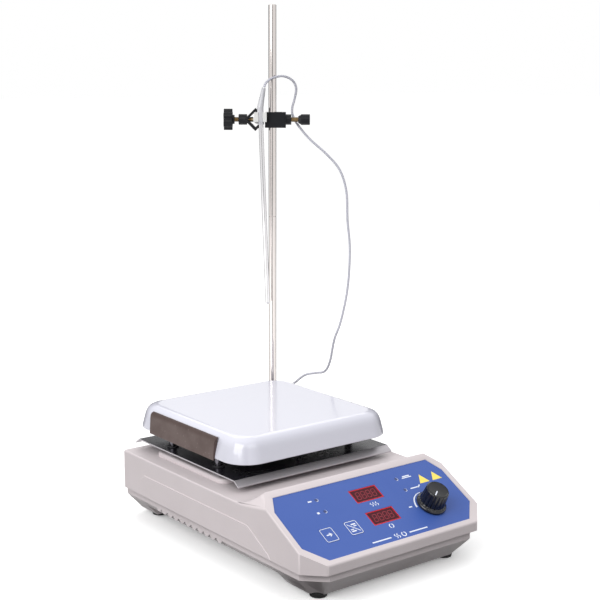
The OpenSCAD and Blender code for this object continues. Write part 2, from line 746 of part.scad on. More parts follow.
// White clip: a stub held in the clamp's square opening, and an open ring for the probe
module probe_holder() color([0.92, 0.92, 0.9]) on_clamp() difference() {
    union() {
        translate([holder_at, -7.7, 0]) rotate([-90, 0, 0]) cylinder(h = 13.2, r = 4.1);
        box([-18.4, -14.9, -2], [-5.6, -7.6, 7.6]);
    }
    along_probe() {
        translate([0, 0, -20]) cylinder(h = 40, r = sleeve_r + run_gap);
        translate([-2.2, -8, -20]) cube([4.4, 8, 40]);
    }
}

module probe_tube() color([0.78, 0.78, 0.8]) on_clamp() along_probe() {
    translate([0, 0, -probe_l + probe_r]) cylinder(h = probe_l + 8 - probe_r, r = probe_r);
    translate([0, 0, -probe_l + probe_r]) sphere(r = probe_r);
}

module probe_sleeve() color([0.85, 0.85, 0.85]) on_clamp() along_probe() difference() {
    union() {
        translate([0, 0, -8.1]) cylinder(h = 17.3, r = sleeve_r);
        translate([0, 0, 9.2]) sphere(r = sleeve_r);
        translate([0, 0, 9.2]) rotate([0, 12.7, 0]) cylinder(h = 20.1, r1 = sleeve_r, r2 = 1.9);
    }
    translate([0, 0, -9]) cylinder(h = 17, r = probe_r + 0.02);
}

// ---------- cable ----------

function spline(p, i, t) = let (
        n = len(p) - 1,
        a = p[max(i - 1, 0)],
        b = p[i],
        c = p[i + 1],
        d = p[min(i + 2, n)]
    ) 0.5 * (2 * b + (c - a) * t + (2 * a - 5 * b + 4 * c - d) * t * t
        + (3 * b - a - 3 * c + d) * t * t * t);

function smooth(p, steps) = concat(
    [for (i = [0:len(p) - 2], k = [0:steps - 1]) spline(p, i, k / steps)], [p[len(p) - 1]]);

function unit(v) = v / norm(v);

// Ring directions, each turned as little as possible from the one before
function side_ways(p, i = 0, last = [0, 0, 1]) = i == len(p) ? [] : let (
        t = unit(p[min(i + 1, len(p) - 1)] - p[max(i - 1, 0)]),
        s = unit(last - (last * t) * t)
    ) concat([[s, cross(t, s)]], side_ways(p, i + 1, s));

module sweep(route, r, sides) {
    ways = side_ways(route, 0, [1, 0, 0]);
    rings = len(route);
    points = [for (i = [0:rings - 1], k = [0:sides - 1])
        route[i] + r * (ways[i][0] * cos(360 * k / sides) + ways[i][1] * sin(360 * k / sides))];
    walls = [for (i = [0:rings - 2], k = [0:sides - 1]) let (n = (k + 1) % sides)
        [i * sides + k, i * sides + n, (i + 1) * sides + n, (i + 1) * sides + k]];
    first = [for (k = [sides - 1:-1:0]) k];
    last = [for (k = [0:sides - 1]) (rings - 1) * sides + k];
    polyhedron(points, concat([first], walls, [last]));
}

module probe_cable() color([0.55, 0.56, 0.58])
    sweep(smooth(cable_route, cable_steps), cable_d / 2, cable_sides);

// ---------- hot plate ----------

// Sheet with its front and rear edges folded out and down
module heat_shield() color([0.6, 0.6, 0.62]) difference() {
    across(2 * shield_x) polygon([
        [shield_y[0] - shield_lip[0], shield_z - shield_lip[1]],
        [shield_y[0] - shield_lip[0] + 0.7, shield_z - shield_lip[1] - 1],
        [shield_y[0] + 0.4, shield_z - shield_t], [shield_y[1] - 0.4, shield_z - shield_t],
        [shield_y[1] + shield_lip[0] - 0.7, shield_z - shield_lip[1] - 1],
        [shield_y[1] + shield_lip[0], shield_z - shield_lip[1]],
        [shield_y[1], shield_z], [shield_y[0], shield_z]]);
    for (p = plate_legs) translate([p[0], p[1], 60]) cylinder(h = 40, r = stud_r + screw_gap);
    translate([0, plate_y, 60]) cylinder(h = 40, r = 9);
}

module plate_posts() color([0.8, 0.8, 0.82]) for (p = plate_legs) translate([p[0], p[1], 0]) {
    translate([0, 0, 61]) cylinder(h = 38, r = stud_r);
    translate([0, 0, shield_z + washer_t]) cylinder(h = cover_z - shield_z - washer_t, r = 3.6);
}

module post_washers() color([0.15, 0.15, 0.16]) for (p = plate_legs)
    translate([p[0], p[1], shield_z]) tube(washer_t, 5.5, stud_r + screw_gap);

module post_spacers() color([0.75, 0.75, 0.77]) for (p = plate_legs)
    translate([p[0], p[1], platform_z])
        tube(shield_z - shield_t - platform_z, 4.5, stud_r + screw_gap);

module post_nuts() color("silver") for (p = plate_legs)
    translate([p[0], p[1], platform_z - wall - 3.2]) difference() {
        cylinder(h = 3.2, r = 3.8, $fn = 6);
        translate([0, 0, -1]) cylinder(h = 6, r = stud_r + screw_gap);
    }

module plate_slice(half, r, z) translate([0, plate_y, z]) linear_extrude(eps)
    polygon(rounded_rect(2 * half, 2 * half, r, 8));

// Inverted pan with a flared skirt, a crowned edge and four lugs inside for the posts
module top_plate() color([0.95, 0.95, 0.97]) difference() {
    union() {
        difference() {
            hull() {
                plate_slice(skirt_half, 25.5, skirt_z);
                plate_slice(skirt_half - 0.5, 25, skirt_z + 2.6);
                plate_slice(87.2, 22.1, 104);
                plate_slice(84.9, 19.8, 108.6);
                plate_slice(80.2, 16.5, plate_z - 0.8);
                plate_slice(flat_half, 15, plate_z - eps);
            }
            hull() {
                plate_slice(skirt_half - 3, 22.5, skirt_z - 1);
                plate_slice(83.6, 18.5, 105);
                plate_slice(79.5, 14.5, plate_z - wall);
            }
        }
        for (p = plate_legs) translate([p[0], p[1], cover_z + 1])
            cylinder(h = plate_z - cover_z - 2.5, r = 4.2);
    }
    for (p = plate_legs) translate([p[0], p[1], cover_z])
        cylinder(h = 9, r = stud_r + screw_gap);
}

// Strip that leans with the left skirt and has a small fold at its front end
module side_plate() color([0.36, 0.29, 0.28]) translate([0, 115, 0]) rotate([90, 0, 0]) {
    linear_extrude(108.5) polygon([
        [-92.3, 89], [-91.2, 105.2], [-90.6, 107.6], [-89.3, 109.2], [-87.2, 110],
        [-87, 109.1], [-88.8, 108.4], [-89.8, 107.2], [-90.3, 105.1], [-91.4, 89]]);
    translate([0, 0, 107.6]) linear_extrude(0.9) polygon([
        [-92.3, 89], [-91.2, 105.2], [-90.6, 107.6], [-89.3, 109.2], [-87.2, 110],
        [-86.4, 109], [-87.6, 104.5], [-90.9, 91], [-90.9, 89]]);
    for (y = [25, 80]) translate([-91.2, 98, y]) rotate([0, 90, 0]) cylinder(h = 1.8, r = 2);
}

module heater_element() color([0.55, 0.55, 0.57]) translate([0, plate_y, 0])
    box([-70, -70, 103.9], [70, 70, plate_z - wall]);

module insulation_pad() color([0.9, 0.88, 0.82]) translate([0, plate_y, 0])
    box([-70, -70, cover_z + 1], [70, 70, 103.9]);

module heater_cover() color([0.12, 0.12, 0.13]) difference() {
    translate([0, plate_y, cover_z]) linear_extrude(1) polygon(rounded_rect(171, 171, 22));
    for (p = plate_legs) translate([p[0], p[1], 60]) cylinder(h = 60, r = stud_r + screw_gap);
}

base_tray();
upper_shell();
rubber_feet();
foot_screws();
shell_screws();
panel_overlay();
temp_window();
rpm_window();
digit_displays();
indicator_leds();
unit_key();
mode_key();
key_switches();
control_board();
board_screws();
potentiometer();
pot_shaft();
speed_knob();
power_board();
transformer_core();
transformer_coil();
mains_inlet();
inlet_contacts();
fuse_drawer();
fuse();
switch_frame();
switch_rocker();
probe_socket();
rear_screws();
rod_bracket();
rod_lock_screw();
lower_rod();
upper_rod();
clamp_body();
rod_screw();
rod_screw_knob();
rod_screw_pad();
holder_screw();
holder_screw_knob();
holder_screw_pad();
probe_holder();
probe_tube();
probe_sleeve();
probe_cable();
probe_plug();
heat_shield();
plate_posts();
post_washers();
post_spacers();
post_nuts();
top_plate();
side_plate();
heater_element();
insulation_pad();
heater_cover();
motor();
motor_bracket();
motor_shaft();
magnet_yoke();
magnets();
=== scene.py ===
import json
import math

import bmesh
import bpy
from mathutils import Matrix, Vector


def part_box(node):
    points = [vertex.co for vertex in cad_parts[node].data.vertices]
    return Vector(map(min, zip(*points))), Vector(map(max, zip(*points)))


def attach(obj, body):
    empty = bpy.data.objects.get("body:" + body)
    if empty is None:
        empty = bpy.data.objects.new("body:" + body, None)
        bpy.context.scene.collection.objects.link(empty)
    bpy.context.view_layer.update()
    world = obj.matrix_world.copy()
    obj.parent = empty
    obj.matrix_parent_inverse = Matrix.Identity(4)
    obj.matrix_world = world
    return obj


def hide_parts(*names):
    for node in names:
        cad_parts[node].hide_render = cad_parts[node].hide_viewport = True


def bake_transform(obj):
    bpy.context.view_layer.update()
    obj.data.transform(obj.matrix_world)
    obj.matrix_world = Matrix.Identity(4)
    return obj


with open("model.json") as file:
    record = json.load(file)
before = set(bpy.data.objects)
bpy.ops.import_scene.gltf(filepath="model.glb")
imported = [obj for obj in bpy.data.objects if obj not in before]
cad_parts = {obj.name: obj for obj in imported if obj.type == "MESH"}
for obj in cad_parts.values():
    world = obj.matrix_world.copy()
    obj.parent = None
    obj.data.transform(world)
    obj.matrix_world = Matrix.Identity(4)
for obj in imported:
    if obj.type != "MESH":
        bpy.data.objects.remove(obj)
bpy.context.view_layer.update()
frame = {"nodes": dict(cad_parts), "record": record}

MM = 0.001
NODES = frame["nodes"]
BODY_OF = {node: body for body, held in frame["record"]["behaviour"]["bodies"].items()
           for node in held}
SLOT_OF = {part["node"]: part["material_slot"] for part in frame["record"]["subparts"]}
JOINTS = {joint["name"]: joint for joint in frame["record"]["behaviour"]["joints"]}


# ---------- places read from the frame ----------

def middle(node):
    low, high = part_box(node)
    return (Vector(low) + Vector(high)) / 2


# The control panel's own directions: across, up the slope and out of it
OUT = Vector(JOINTS["speed_knob_turn"]["axis"]).normalized()
UP_SLOPE = Vector((0, OUT.z, -OUT.y))
OVERLAY_T = 0.5 * MM
overlay_low = Vector(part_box("panel_overlay")[0])
PANEL_FOOT = Vector((0, overlay_low.y, overlay_low.z + OVERLAY_T * OUT.z))
PANEL = Matrix.Translation(PANEL_FOOT) @ Matrix((
    (1, UP_SLOPE.x, OUT.x), (0, UP_SLOPE.y, OUT.y), (0, UP_SLOPE.z, OUT.z))).to_4x4()

# The clamp's own directions: along its screws, away from the front and up
ALONG = Vector(JOINTS["rod_screw_travel"]["axis"]).normalized()
CLAMP_AT = Vector(JOINTS["rod_screw_turn"]["pos_m"])
CLAMP = Matrix.Translation(CLAMP_AT) @ Matrix((
    (ALONG.x, -ALONG.y, 0), (ALONG.y, ALONG.x, 0), (0, 0, 1))).to_4x4()


def on_panel(node):
    """Centre of a node, as across and up the slope on the panel, in metres."""
    across, up, _ = PANEL.inverted() @ middle(node)
    return across, up


# ---------- camera, light and floor ----------

# Where the camera stands, in metres, and how it is turned, in degrees
CAMERA_AT = (-0.70265, -0.90197, 0.43534)
CAMERA_TURN = -37.908
CAMERA_DIP = 10.419
CAMERA_ROLL = 0.177


def make_camera():
    turn = (Matrix.Rotation(math.radians(CAMERA_TURN), 3, "Z")
            @ Matrix.Rotation(math.radians(90 - CAMERA_DIP), 3, "X")
            @ Matrix.Rotation(math.radians(CAMERA_ROLL), 3, "Z"))
    bpy.ops.object.camera_add(location=CAMERA_AT, rotation=turn.to_euler())
    camera = bpy.context.object
    camera.name = "camera"
    camera.data.sensor_width = 36
    camera.data.lens = 76.386
    camera.data.shift_x = 0.00095
    camera.data.shift_y = 0.00085
    camera.data.clip_start = 0.05
    camera.data.clip_end = 60
    bpy.context.scene.camera = camera


def area_light(name, place, aim, size, power):
    bpy.ops.object.light_add(type="AREA", location=place)
    light = bpy.context.object
    light.name = name
    light.data.shape = "RECTANGLE"
    light.data.size, light.data.size_y = size
    light.data.energy = power
    light.rotation_euler = (Vector(aim) - Vector(place)).to_track_quat("-Z", "Y").to_euler()


def dark_flag(name, azimuth, spread):
    """A dark wedge of bench and an upright board behind it that only reflections see: they give
    the polished rod its dark lines. azimuth: degrees from the right, anticlockwise, about the
    rod. spread: half of the angle it covers."""
    near, far, bench, height = 0.3, 3.0, 0.0004, 2.0
    slope = math.tan(math.radians(spread))
    widths = [(near, near * slope, bench), (far, far * slope, bench), (far, far * slope, height)]
    rod = middle("lower_rod")
    turn = Matrix.Translation((rod.x, rod.y, 0)) @ Matrix.Rotation(math.radians(azimuth), 4, "Z")
    bpy.ops.mesh.primitive_grid_add(x_subdivisions=2, y_subdivisions=1, size=2)
    flag = bpy.context.object
    flag.name = name
    for vert in flag.data.vertices:
        reach, half, z = widths[round(vert.co.x) + 1]
        vert.co = (reach, half * vert.co.y, z)
    flag.data.transform(turn)
    flag.visible_camera = False
    flag.visible_diffuse = False
    flag.visible_transmission = False
    flag.visible_shadow = False
    flag.data.materials.append(MATERIALS["cover_black"])


def make_studio():
    scene = bpy.context.scene
    scene.view_settings.view_transform = "Standard"
    scene.world = studio_world()
    aim = (0, 0, 0.08)
    area_light("key_light", (-1.7, -0.45, 1.1), aim, (1.4, 1.4), 27)
    area_light("front_light", (-0.2, -1.9, 1.5), aim, (1.4, 1.0), 4.5)
    area_light("rear_light", (0.9, 1.4, 1.5), aim, (1.4, 1.0), 5)
    dark_flag("left_flag", 88, 26)
    dark_flag("right_flag", 18, 26)
    dark_flag("front_flag", 233, 8)
    bpy.ops.mesh.primitive_plane_add(size=30, location=(0, 0, -0.0005))
    floor = bpy.context.object
    floor.name = "floor"
    floor.visible_diffuse = False
    floor.data.materials.append(floor_paper())


def studio_world():
    """White all round above the bench and dim below it, so that undersides stay dark."""
    world = bpy.data.worlds.new("studio")
    world.use_nodes = True
    tree = world.node_tree
    sky = tree.nodes["Background"]
    place = add(tree, "ShaderNodeTexCoord")
    parts = add(tree, "ShaderNodeSeparateXYZ")
    rise = add(tree, "ShaderNodeMapRange", in_1=-0.04, in_2=0.6, in_3=0.05, in_4=0.98)
    path = add(tree, "ShaderNodeLightPath")
    level = add(tree, "ShaderNodeMath", operation="MAXIMUM")
    link = tree.links.new
    link(place.outputs["Generated"], parts.inputs["Vector"])
    link(parts.outputs["Z"], rise.inputs["Value"])
    seen = add(tree, "ShaderNodeMath", operation="MAXIMUM")
    link(path.outputs["Is Camera Ray"], seen.inputs[0])
    link(path.outputs["Is Glossy Ray"], seen.inputs[1])
    link(rise.outputs["Result"], level.inputs[0])
    link(seen.outputs["Value"], level.inputs[1])
    link(level.outputs["Value"], sky.inputs["Strength"])
    sky.inputs["Color"].default_value = (1, 1, 1, 1)
    return world


# ---------- node tools for materials ----------

def srgb(r, g, b):
    """Colour given as 0 to 255 on a screen, as the shader wants it."""
    def linear(c):
        return c / 255 / 12.92 if c <= 10 else ((c / 255 + 0.055) / 1.055) ** 2.4
    return (linear(r), linear(g), linear(b), 1)


def add(tree, kind, **settings):
    node = tree.nodes.new(kind)
    for name, value in settings.items():
        if name.startswith("in_"):
            key = name[3:]
            node.inputs[int(key) if key.isdigit() else key].default_value = value
        else:
            setattr(node, name, value)
    return node


def new_group(name, sockets):
    """An empty shader node group. sockets: (name, "INPUT" or "OUTPUT", socket type, default)."""
    group = bpy.data.node_groups.new(name, "ShaderNodeTree")
    for label, way, kind, default in sockets:
        socket = group.interface.new_socket(name=label, in_out=way, socket_type=kind)
        if default is not None:
            socket.default_value = default
    return group, add(group, "NodeGroupInput"), add(group, "NodeGroupOutput")


FLOAT = "NodeSocketFloat"
COLOUR = "NodeSocketColor"


def moulding_group():
    """Fine spark-eroded grain of a moulding, with broad soft clouds of tone."""
    group, given, result = new_group("moulding_grain", [
        ("Grain Size", "INPUT", FLOAT, 1500.0), ("Cloud Size", "INPUT", FLOAT, 14.0),
        ("Light", "INPUT", COLOUR, None), ("Dark", "INPUT", COLOUR, None),
        ("Colour", "OUTPUT", COLOUR, None), ("Height", "OUTPUT", FLOAT, None),
        ("Cloud", "OUTPUT", FLOAT, None)])
    place = add(group, "ShaderNodeTexCoord")
    grain = add(group, "ShaderNodeTexNoise", in_Detail=3.0, in_Roughness=0.6)
    cloud = add(group, "ShaderNodeTexNoise", in_Detail=4.0, in_Roughness=0.55)
    blend = add(group, "ShaderNodeMath", operation="MULTIPLY_ADD", in_1=0.75, use_clamp=True)
    small = add(group, "ShaderNodeMath", operation="MULTIPLY", in_1=0.25)
    mix = add(group, "ShaderNodeMix", data_type="RGBA")
    link = group.links.new
    link(place.outputs["Object"], grain.inputs["Vector"])
    link(place.outputs["Object"], cloud.inputs["Vector"])
    link(given.outputs["Grain Size"], grain.inputs["Scale"])
    link(given.outputs["Cloud Size"], cloud.inputs["Scale"])
    link(grain.outputs["Fac"], small.inputs[0])
    link(cloud.outputs["Fac"], blend.inputs[0])
    link(small.outputs["Value"], blend.inputs[2])
    link(blend.outputs["Value"], mix.inputs["Factor"])
    link(given.outputs["Light"], mix.inputs["A"])
    link(given.outputs["Dark"], mix.inputs["B"])
    link(mix.outputs["Result"], result.inputs["Colour"])
    link(grain.outputs["Fac"], result.inputs["Height"])
    link(cloud.outputs["Fac"], result.inputs["Cloud"])
    return group


def brushing_group():
    """Long fine scratches along one axis: noise squeezed across and stretched along it."""
    group, given, result = new_group("brushing", [
        ("Stretch", "INPUT", "NodeSocketVector", (400.0, 400.0, 6.0)),
        ("Light", "INPUT", COLOUR, None), ("Dark", "INPUT", COLOUR, None),
        ("Colour", "OUTPUT", COLOUR, None), ("Height", "OUTPUT", FLOAT, None),
        ("Cloud", "OUTPUT", FLOAT, None)])
    place = add(group, "ShaderNodeTexCoord")
    stretch = add(group, "ShaderNodeVectorMath", operation="MULTIPLY")
    lines = add(group, "ShaderNodeTexNoise", in_Scale=1.0, in_Detail=4.0, in_Roughness=0.65)
    cloud = add(group, "ShaderNodeTexNoise", in_Scale=25.0, in_Detail=3.0)
    mix = add(group, "ShaderNodeMix", data_type="RGBA")
    link = group.links.new
    link(place.outputs["Object"], stretch.inputs[0])
    link(given.outputs["Stretch"], stretch.inputs[1])
    link(stretch.outputs["Vector"], lines.inputs["Vector"])
    link(place.outputs["Object"], cloud.inputs["Vector"])
    link(lines.outputs["Fac"], mix.inputs["Factor"])
    link(given.outputs["Light"], mix.inputs["A"])
    link(given.outputs["Dark"], mix.inputs["B"])
    link(mix.outputs["Result"], result.inputs["Colour"])
    link(lines.outputs["Fac"], result.inputs["Height"])
    link(cloud.outputs["Fac"], result.inputs["Cloud"])
    return group


GROUPS = {}


def finish_from(name, group, settings, rough, bump, **shader):
    """A material whose colour, roughness and bump come from a group. rough: lowest and highest
    roughness. bump: depth of the relief in metres. shader: the Principled node's own values."""
    material = bpy.data.materials.new(name)
    material.use_nodes = True
    tree = material.node_tree
    body = tree.nodes["Principled BSDF"]
    source = add(tree, "ShaderNodeGroup", node_tree=GROUPS[group])
    for socket, value in settings.items():
        source.inputs[socket].default_value = value
    spread = add(tree, "ShaderNodeMapRange", in_1=0.3, in_2=0.7, in_3=rough[0], in_4=rough[1])
    relief = add(tree, "ShaderNodeBump", in_Strength=1.0, in_Distance=bump)
    for socket, value in shader.items():
        body.inputs[socket.replace("_", " ")].default_value = value
    link = tree.links.new
    link(source.outputs["Colour"], body.inputs["Base Color"])
    link(source.outputs["Cloud"], spread.inputs["Value"])
    link(spread.outputs["Result"], body.inputs["Roughness"])
    link(source.outputs["Height"], relief.inputs["Height"])
    link(relief.outputs["Normal"], body.inputs["Normal"])
    return material


def moulded(name, light, dark, rough, bump=0.00002, grain=1500.0, cloud=14.0, **shader):
    return finish_from(name, "moulding", {"Light": light, "Dark": dark, "Grain Size": grain,
                                          "Cloud Size": cloud}, rough, bump, **shader)


def brushed(name, light, dark, rough, stretch, bump=0.00001, **shader):
    return finish_from(name, "brushing", {"Light": light, "Dark": dark, "Stretch": stretch},
                       rough, bump, Metallic=1.0, **shader)


# ---------- materials ----------

def floor_paper():
    return moulded("floor_paper", srgb(252, 252, 252), srgb(249, 249, 249), (0.85, 0.95),
                   bump=0.0, grain=300.0, Emission_Color=(1, 1, 1, 1), Emission_Strength=0.2)


def make_materials():
    GROUPS["moulding"] = moulding_group()
    GROUPS["brushing"] = brushing_group()
    up_down = (700.0, 700.0, 9.0)
    side_side = (9.0, 700.0, 700.0)
    made = [
        moulded("shell_plastic", srgb(214, 205, 207), srgb(203, 194, 196), (0.42, 0.56),
                bump=0.00003),
        moulded("bracket_paint", srgb(196, 190, 192), srgb(180, 174, 176), (0.35, 0.5)),
        moulded("foot_rubber", srgb(34, 33, 33), srgb(20, 20, 20), (0.75, 0.9), grain=900.0),
        moulded("overlay_blue", srgb(62, 94, 172), srgb(57, 88, 164), (0.4, 0.52),
                bump=0.00001, grain=2200.0),
        moulded("print_white", srgb(240, 243, 250), srgb(222, 228, 242), (0.4, 0.5)),
        moulded("print_yellow", srgb(250, 228, 110), srgb(242, 216, 92), (0.4, 0.5)),
        moulded("window_rim", srgb(204, 14, 40), srgb(176, 10, 34), (0.12, 0.2), bump=0.0),
        moulded("window_face", srgb(76, 6, 26), srgb(62, 4, 22), (0.3, 0.4), bump=0.0,
                Specular_IOR_Level=0.2),
        moulded("digit_segment", srgb(158, 40, 54), srgb(142, 32, 48), (0.3, 0.4), bump=0.0),
        moulded("led_clear", srgb(74, 86, 140), srgb(44, 52, 92), (0.08, 0.16), bump=0.0),
        moulded("black_plastic", srgb(40, 40, 44), srgb(26, 26, 29), (0.4, 0.55)),
        moulded("knob_black", srgb(14, 15, 22), srgb(8, 9, 15), (0.12, 0.2), bump=0.000005),
        moulded("clamp_black", srgb(14, 15, 20), srgb(8, 9, 13), (0.32, 0.5), bump=0.00005,
                grain=500.0, Specular_IOR_Level=0.3),
        moulded("board_green", srgb(30, 110, 66), srgb(18, 84, 48), (0.3, 0.45)),
        moulded("lamination", srgb(96, 96, 98), srgb(60, 60, 62), (0.4, 0.6)),
        moulded("winding", srgb(196, 120, 62), srgb(150, 84, 40), (0.3, 0.5), grain=900.0),
        moulded("fuse_glass", srgb(210, 216, 220), srgb(176, 184, 190), (0.05, 0.1), bump=0.0),
        moulded("rocker_red", srgb(180, 30, 30), srgb(150, 20, 22), (0.2, 0.3)),
        moulded("nylon_white", srgb(246, 246, 244), srgb(228, 228, 226), (0.3, 0.45)),
        moulded("enamel_white", srgb(214, 214, 225), srgb(208, 208, 220), (0.1, 0.2),
                bump=0.00001, grain=90.0, cloud=9.0, Coat_Weight=0.35, Coat_Roughness=0.05),
        moulded("heater_cast", srgb(150, 150, 152), srgb(120, 120, 122), (0.5, 0.7)),
        moulded("pad_fibre", srgb(232, 226, 208), srgb(212, 204, 184), (0.9, 1.0), grain=700.0),
        moulded("cover_black", srgb(34, 34, 40), srgb(22, 22, 27), (0.3, 0.45)),
        moulded("washer_black", srgb(50, 50, 54), srgb(32, 32, 36), (0.35, 0.5)),
        moulded("magnet", srgb(70, 70, 74), srgb(48, 48, 52), (0.4, 0.6)),
        brushed("zinc_steel", srgb(190, 190, 192), srgb(150, 150, 154), (0.3, 0.5), side_side),
        brushed("contact_brass", srgb(196, 178, 146), srgb(150, 130, 100), (0.25, 0.4), side_side),
        brushed("plug_metal", srgb(214, 214, 218), srgb(180, 180, 186), (0.16, 0.3), side_side),
        brushed("rod_steel", srgb(226, 220, 217), srgb(206, 199, 196), (0.05, 0.09), up_down,
                bump=0.0),
        brushed("probe_steel", srgb(230, 229, 230), srgb(208, 206, 208), (0.06, 0.1), up_down,
                bump=0.0),
        moulded("shield_steel", srgb(196, 192, 196), srgb(166, 162, 167), (0.34, 0.5), bump=0.00002,
                grain=700.0, cloud=30.0, Metallic=0.55),
        # Darker copy of the shield's sheet for its top face: painted shade for the plate's shadow
        # on it and the dark plate it reflects
        moulded("shield_painted_shade", srgb(52, 50, 58), srgb(36, 35, 42), (0.2, 0.3), bump=0.00001,
                grain=700.0, cloud=30.0, Metallic=0.5),
        # Chrome for the posts, darkened: painted reflection of the dark surroundings that the
        # polished posts mirror
        brushed("post_chrome_painted_dark", srgb(112, 110, 116), srgb(84, 82, 88), (0.06, 0.12), up_down,
                bump=0.000002),
        brushed("yoke_steel", srgb(150, 150, 152), srgb(110, 110, 112), (0.4, 0.6), side_side),
        tinted_steel(), sleeve_film(), cable_braid()]
    return {material.name: material for material in made}


def tinted_steel():
    """Brown heat-tinted sheet with fine grain and faint bright nicks."""
    material = moulded("tinted_steel", srgb(101, 85, 81), srgb(75, 61, 58), (0.34, 0.55),
                       bump=0.00003, grain=900.0, cloud=45.0, Metallic=0.55)
    tree = material.node_tree
    body = tree.nodes["Principled BSDF"]
    place = add(tree, "ShaderNodeTexCoord")
    specks = add(tree, "ShaderNodeTexVoronoi", in_Scale=260.0)
    nick = add(tree, "ShaderNodeMapRange", in_1=0.05, in_2=0.12, in_3=1.0, in_4=0.0)
    mix = add(tree, "ShaderNodeMix", data_type="RGBA", in_B=srgb(150, 136, 130))
    old = body.inputs["Base Color"].links[0].from_socket
    link = tree.links.new
    link(place.outputs["Object"], specks.inputs["Vector"])
    link(specks.outputs["Distance"], nick.inputs["Value"])
    link(nick.outputs["Result"], mix.inputs["Factor"])
    link(old, mix.inputs["A"])
    link(mix.outputs["Result"], body.inputs["Base Color"])
    return material


def sleeve_film():
    """Whitish shrink film that shows streaks of the tube and the wires under it."""
    material = moulded("sleeve_film", srgb(228, 228, 231), srgb(196, 196, 202), (0.2, 0.34),
                       bump=0.0001, grain=160.0, cloud=60.0)
    tree = material.node_tree
    body = tree.nodes["Principled BSDF"]
    place = add(tree, "ShaderNodeTexCoord")
    shape = add(tree, "ShaderNodeVectorMath", operation="MULTIPLY", in_1=(420.0, 420.0, 26.0))
    streak = add(tree, "ShaderNodeTexNoise", in_Scale=1.0, in_Detail=3.0)
    edge = add(tree, "ShaderNodeMapRange", in_1=0.48, in_2=0.62, in_3=0.0, in_4=0.75)
    mix = add(tree, "ShaderNodeMix", data_type="RGBA", in_B=srgb(138, 138, 146))
    old = body.inputs["Base Color"].links[0].from_socket
    link = tree.links.new
    link(place.outputs["Object"], shape.inputs[0])
    link(shape.outputs["Vector"], streak.inputs["Vector"])
    link(streak.outputs["Fac"], edge.inputs["Value"])
    link(edge.outputs["Result"], mix.inputs["Factor"])
    link(old, mix.inputs["A"])
    link(mix.outputs["Result"], body.inputs["Base Color"])
    return material


def cable_braid():
    """Two sets of strands crossing round the cable, from its own UV map."""
    material = bpy.data.materials.new("cable_braid")
    material.use_nodes = True
    tree = material.node_tree
    body = tree.nodes["Principled BSDF"]
    body.inputs["Metallic"].default_value = 0.4
    body.inputs["Roughness"].default_value = 0.5
    place = add(tree, "ShaderNodeUVMap", uv_map="UVMap")
    parts = add(tree, "ShaderNodeSeparateXYZ")
    link = tree.links.new
    link(place.outputs["UV"], parts.inputs["Vector"])
    strands = []
    for side in (1, -1):
        turn = add(tree, "ShaderNodeMath", operation="MULTIPLY", in_1=side * 6 * 2 * math.pi)
        lean = add(tree, "ShaderNodeMath", operation="MULTIPLY_ADD", in_1=1800.0)
        wave = add(tree, "ShaderNodeMath", operation="SINE")
        link(parts.outputs["Y"], turn.inputs[0])
        link(parts.outputs["X"], lean.inputs[0])
        link(turn.outputs["Value"], lean.inputs[2])
        link(lean.outputs["Value"], wave.inputs[0])
        strands.append(wave)
    over = add(tree, "ShaderNodeMath", operation="MAXIMUM")
    link(strands[0].outputs["Value"], over.inputs[0])
    link(strands[1].outputs["Value"], over.inputs[1])
    shade = add(tree, "ShaderNodeMapRange", in_1=-0.6, in_2=1.0, in_3=0.0, in_4=1.0)
    mix = add(tree, "ShaderNodeMix", data_type="RGBA", in_A=srgb(124, 124, 138),
              in_B=srgb(222, 222, 232))
    relief = add(tree, "ShaderNodeBump", in_Strength=1.0, in_Distance=0.00015)
    link(over.outputs["Value"], shade.inputs["Value"])
    link(shade.outputs["Result"], mix.inputs["Factor"])
    link(mix.outputs["Result"], body.inputs["Base Color"])
    link(over.outputs["Value"], relief.inputs["Height"])
    link(relief.outputs["Normal"], body.inputs["Normal"])
    return material


# ---------- modelling tools ----------

def begin(piece, mode="EDIT"):
    bpy.ops.object.select_all(action="DESELECT")
    piece.select_set(True)
    bpy.context.view_layer.objects.active = piece
    if mode == "EDIT":
        bpy.ops.object.mode_set(mode="EDIT")
        bpy.ops.mesh.select_all(action="DESELECT")


def end():
    bpy.ops.object.mode_set(mode="OBJECT")


def pick_faces(piece, test):
    """In edit mode, selects the faces whose centre and normal pass the test."""
    mesh = bmesh.from_edit_mesh(piece.data)
    bpy.ops.mesh.select_mode(type="FACE")
    bpy.ops.mesh.select_all(action="DESELECT")
    for face in mesh.faces:
        face.select_set(test(face.calc_center_median(), face.normal))
    bmesh.update_edit_mesh(piece.data)


def pick_edges(piece, test):
    """In edit mode, selects the edges whose middle and direction pass the test."""
    mesh = bmesh.from_edit_mesh(piece.data)
    bpy.ops.mesh.select_mode(type="EDGE")
    bpy.ops.mesh.select_all(action="DESELECT")
    for edge in mesh.edges:
        a, b = (vert.co for vert in edge.verts)
        edge.select_set(test((a + b) / 2, (b - a).normalized()))
    bmesh.update_edit_mesh(piece.data)


def apply_modifier(piece, kind, **settings):
    begin(piece, "OBJECT")
    modifier = piece.modifiers.new(kind.lower(), kind)
    for name, value in settings.items():
        setattr(modifier, name, value)
    bpy.ops.object.modifier_apply(modifier=modifier.name)


def smooth(piece, degrees):
    """Smooth shading below an angle, with normals led by the large faces so they stay flat."""
    begin(piece, "OBJECT")
    bpy.ops.object.shade_smooth_by_angle(angle=math.radians(degrees))
    apply_modifier(piece, "WEIGHTED_NORMAL", keep_sharp=True, weight=80)


def primitive(name, kind, place=(0, 0, 0), stretch=(1, 1, 1), **settings):
    bpy.ops.object.select_all(action="DESELECT")
    getattr(bpy.ops.mesh, f"primitive_{kind}_add")(location=place, **settings)
    piece = bpy.context.object
    piece.name = piece.data.name = name
    piece.scale = stretch
    bpy.ops.object.transform_apply(location=True, rotation=True, scale=True)
    return piece


def put(piece, matrix):
    """Moves a piece's mesh, and leaves its object at the origin."""
    piece.data.transform(matrix)
    piece.data.update()
    return piece


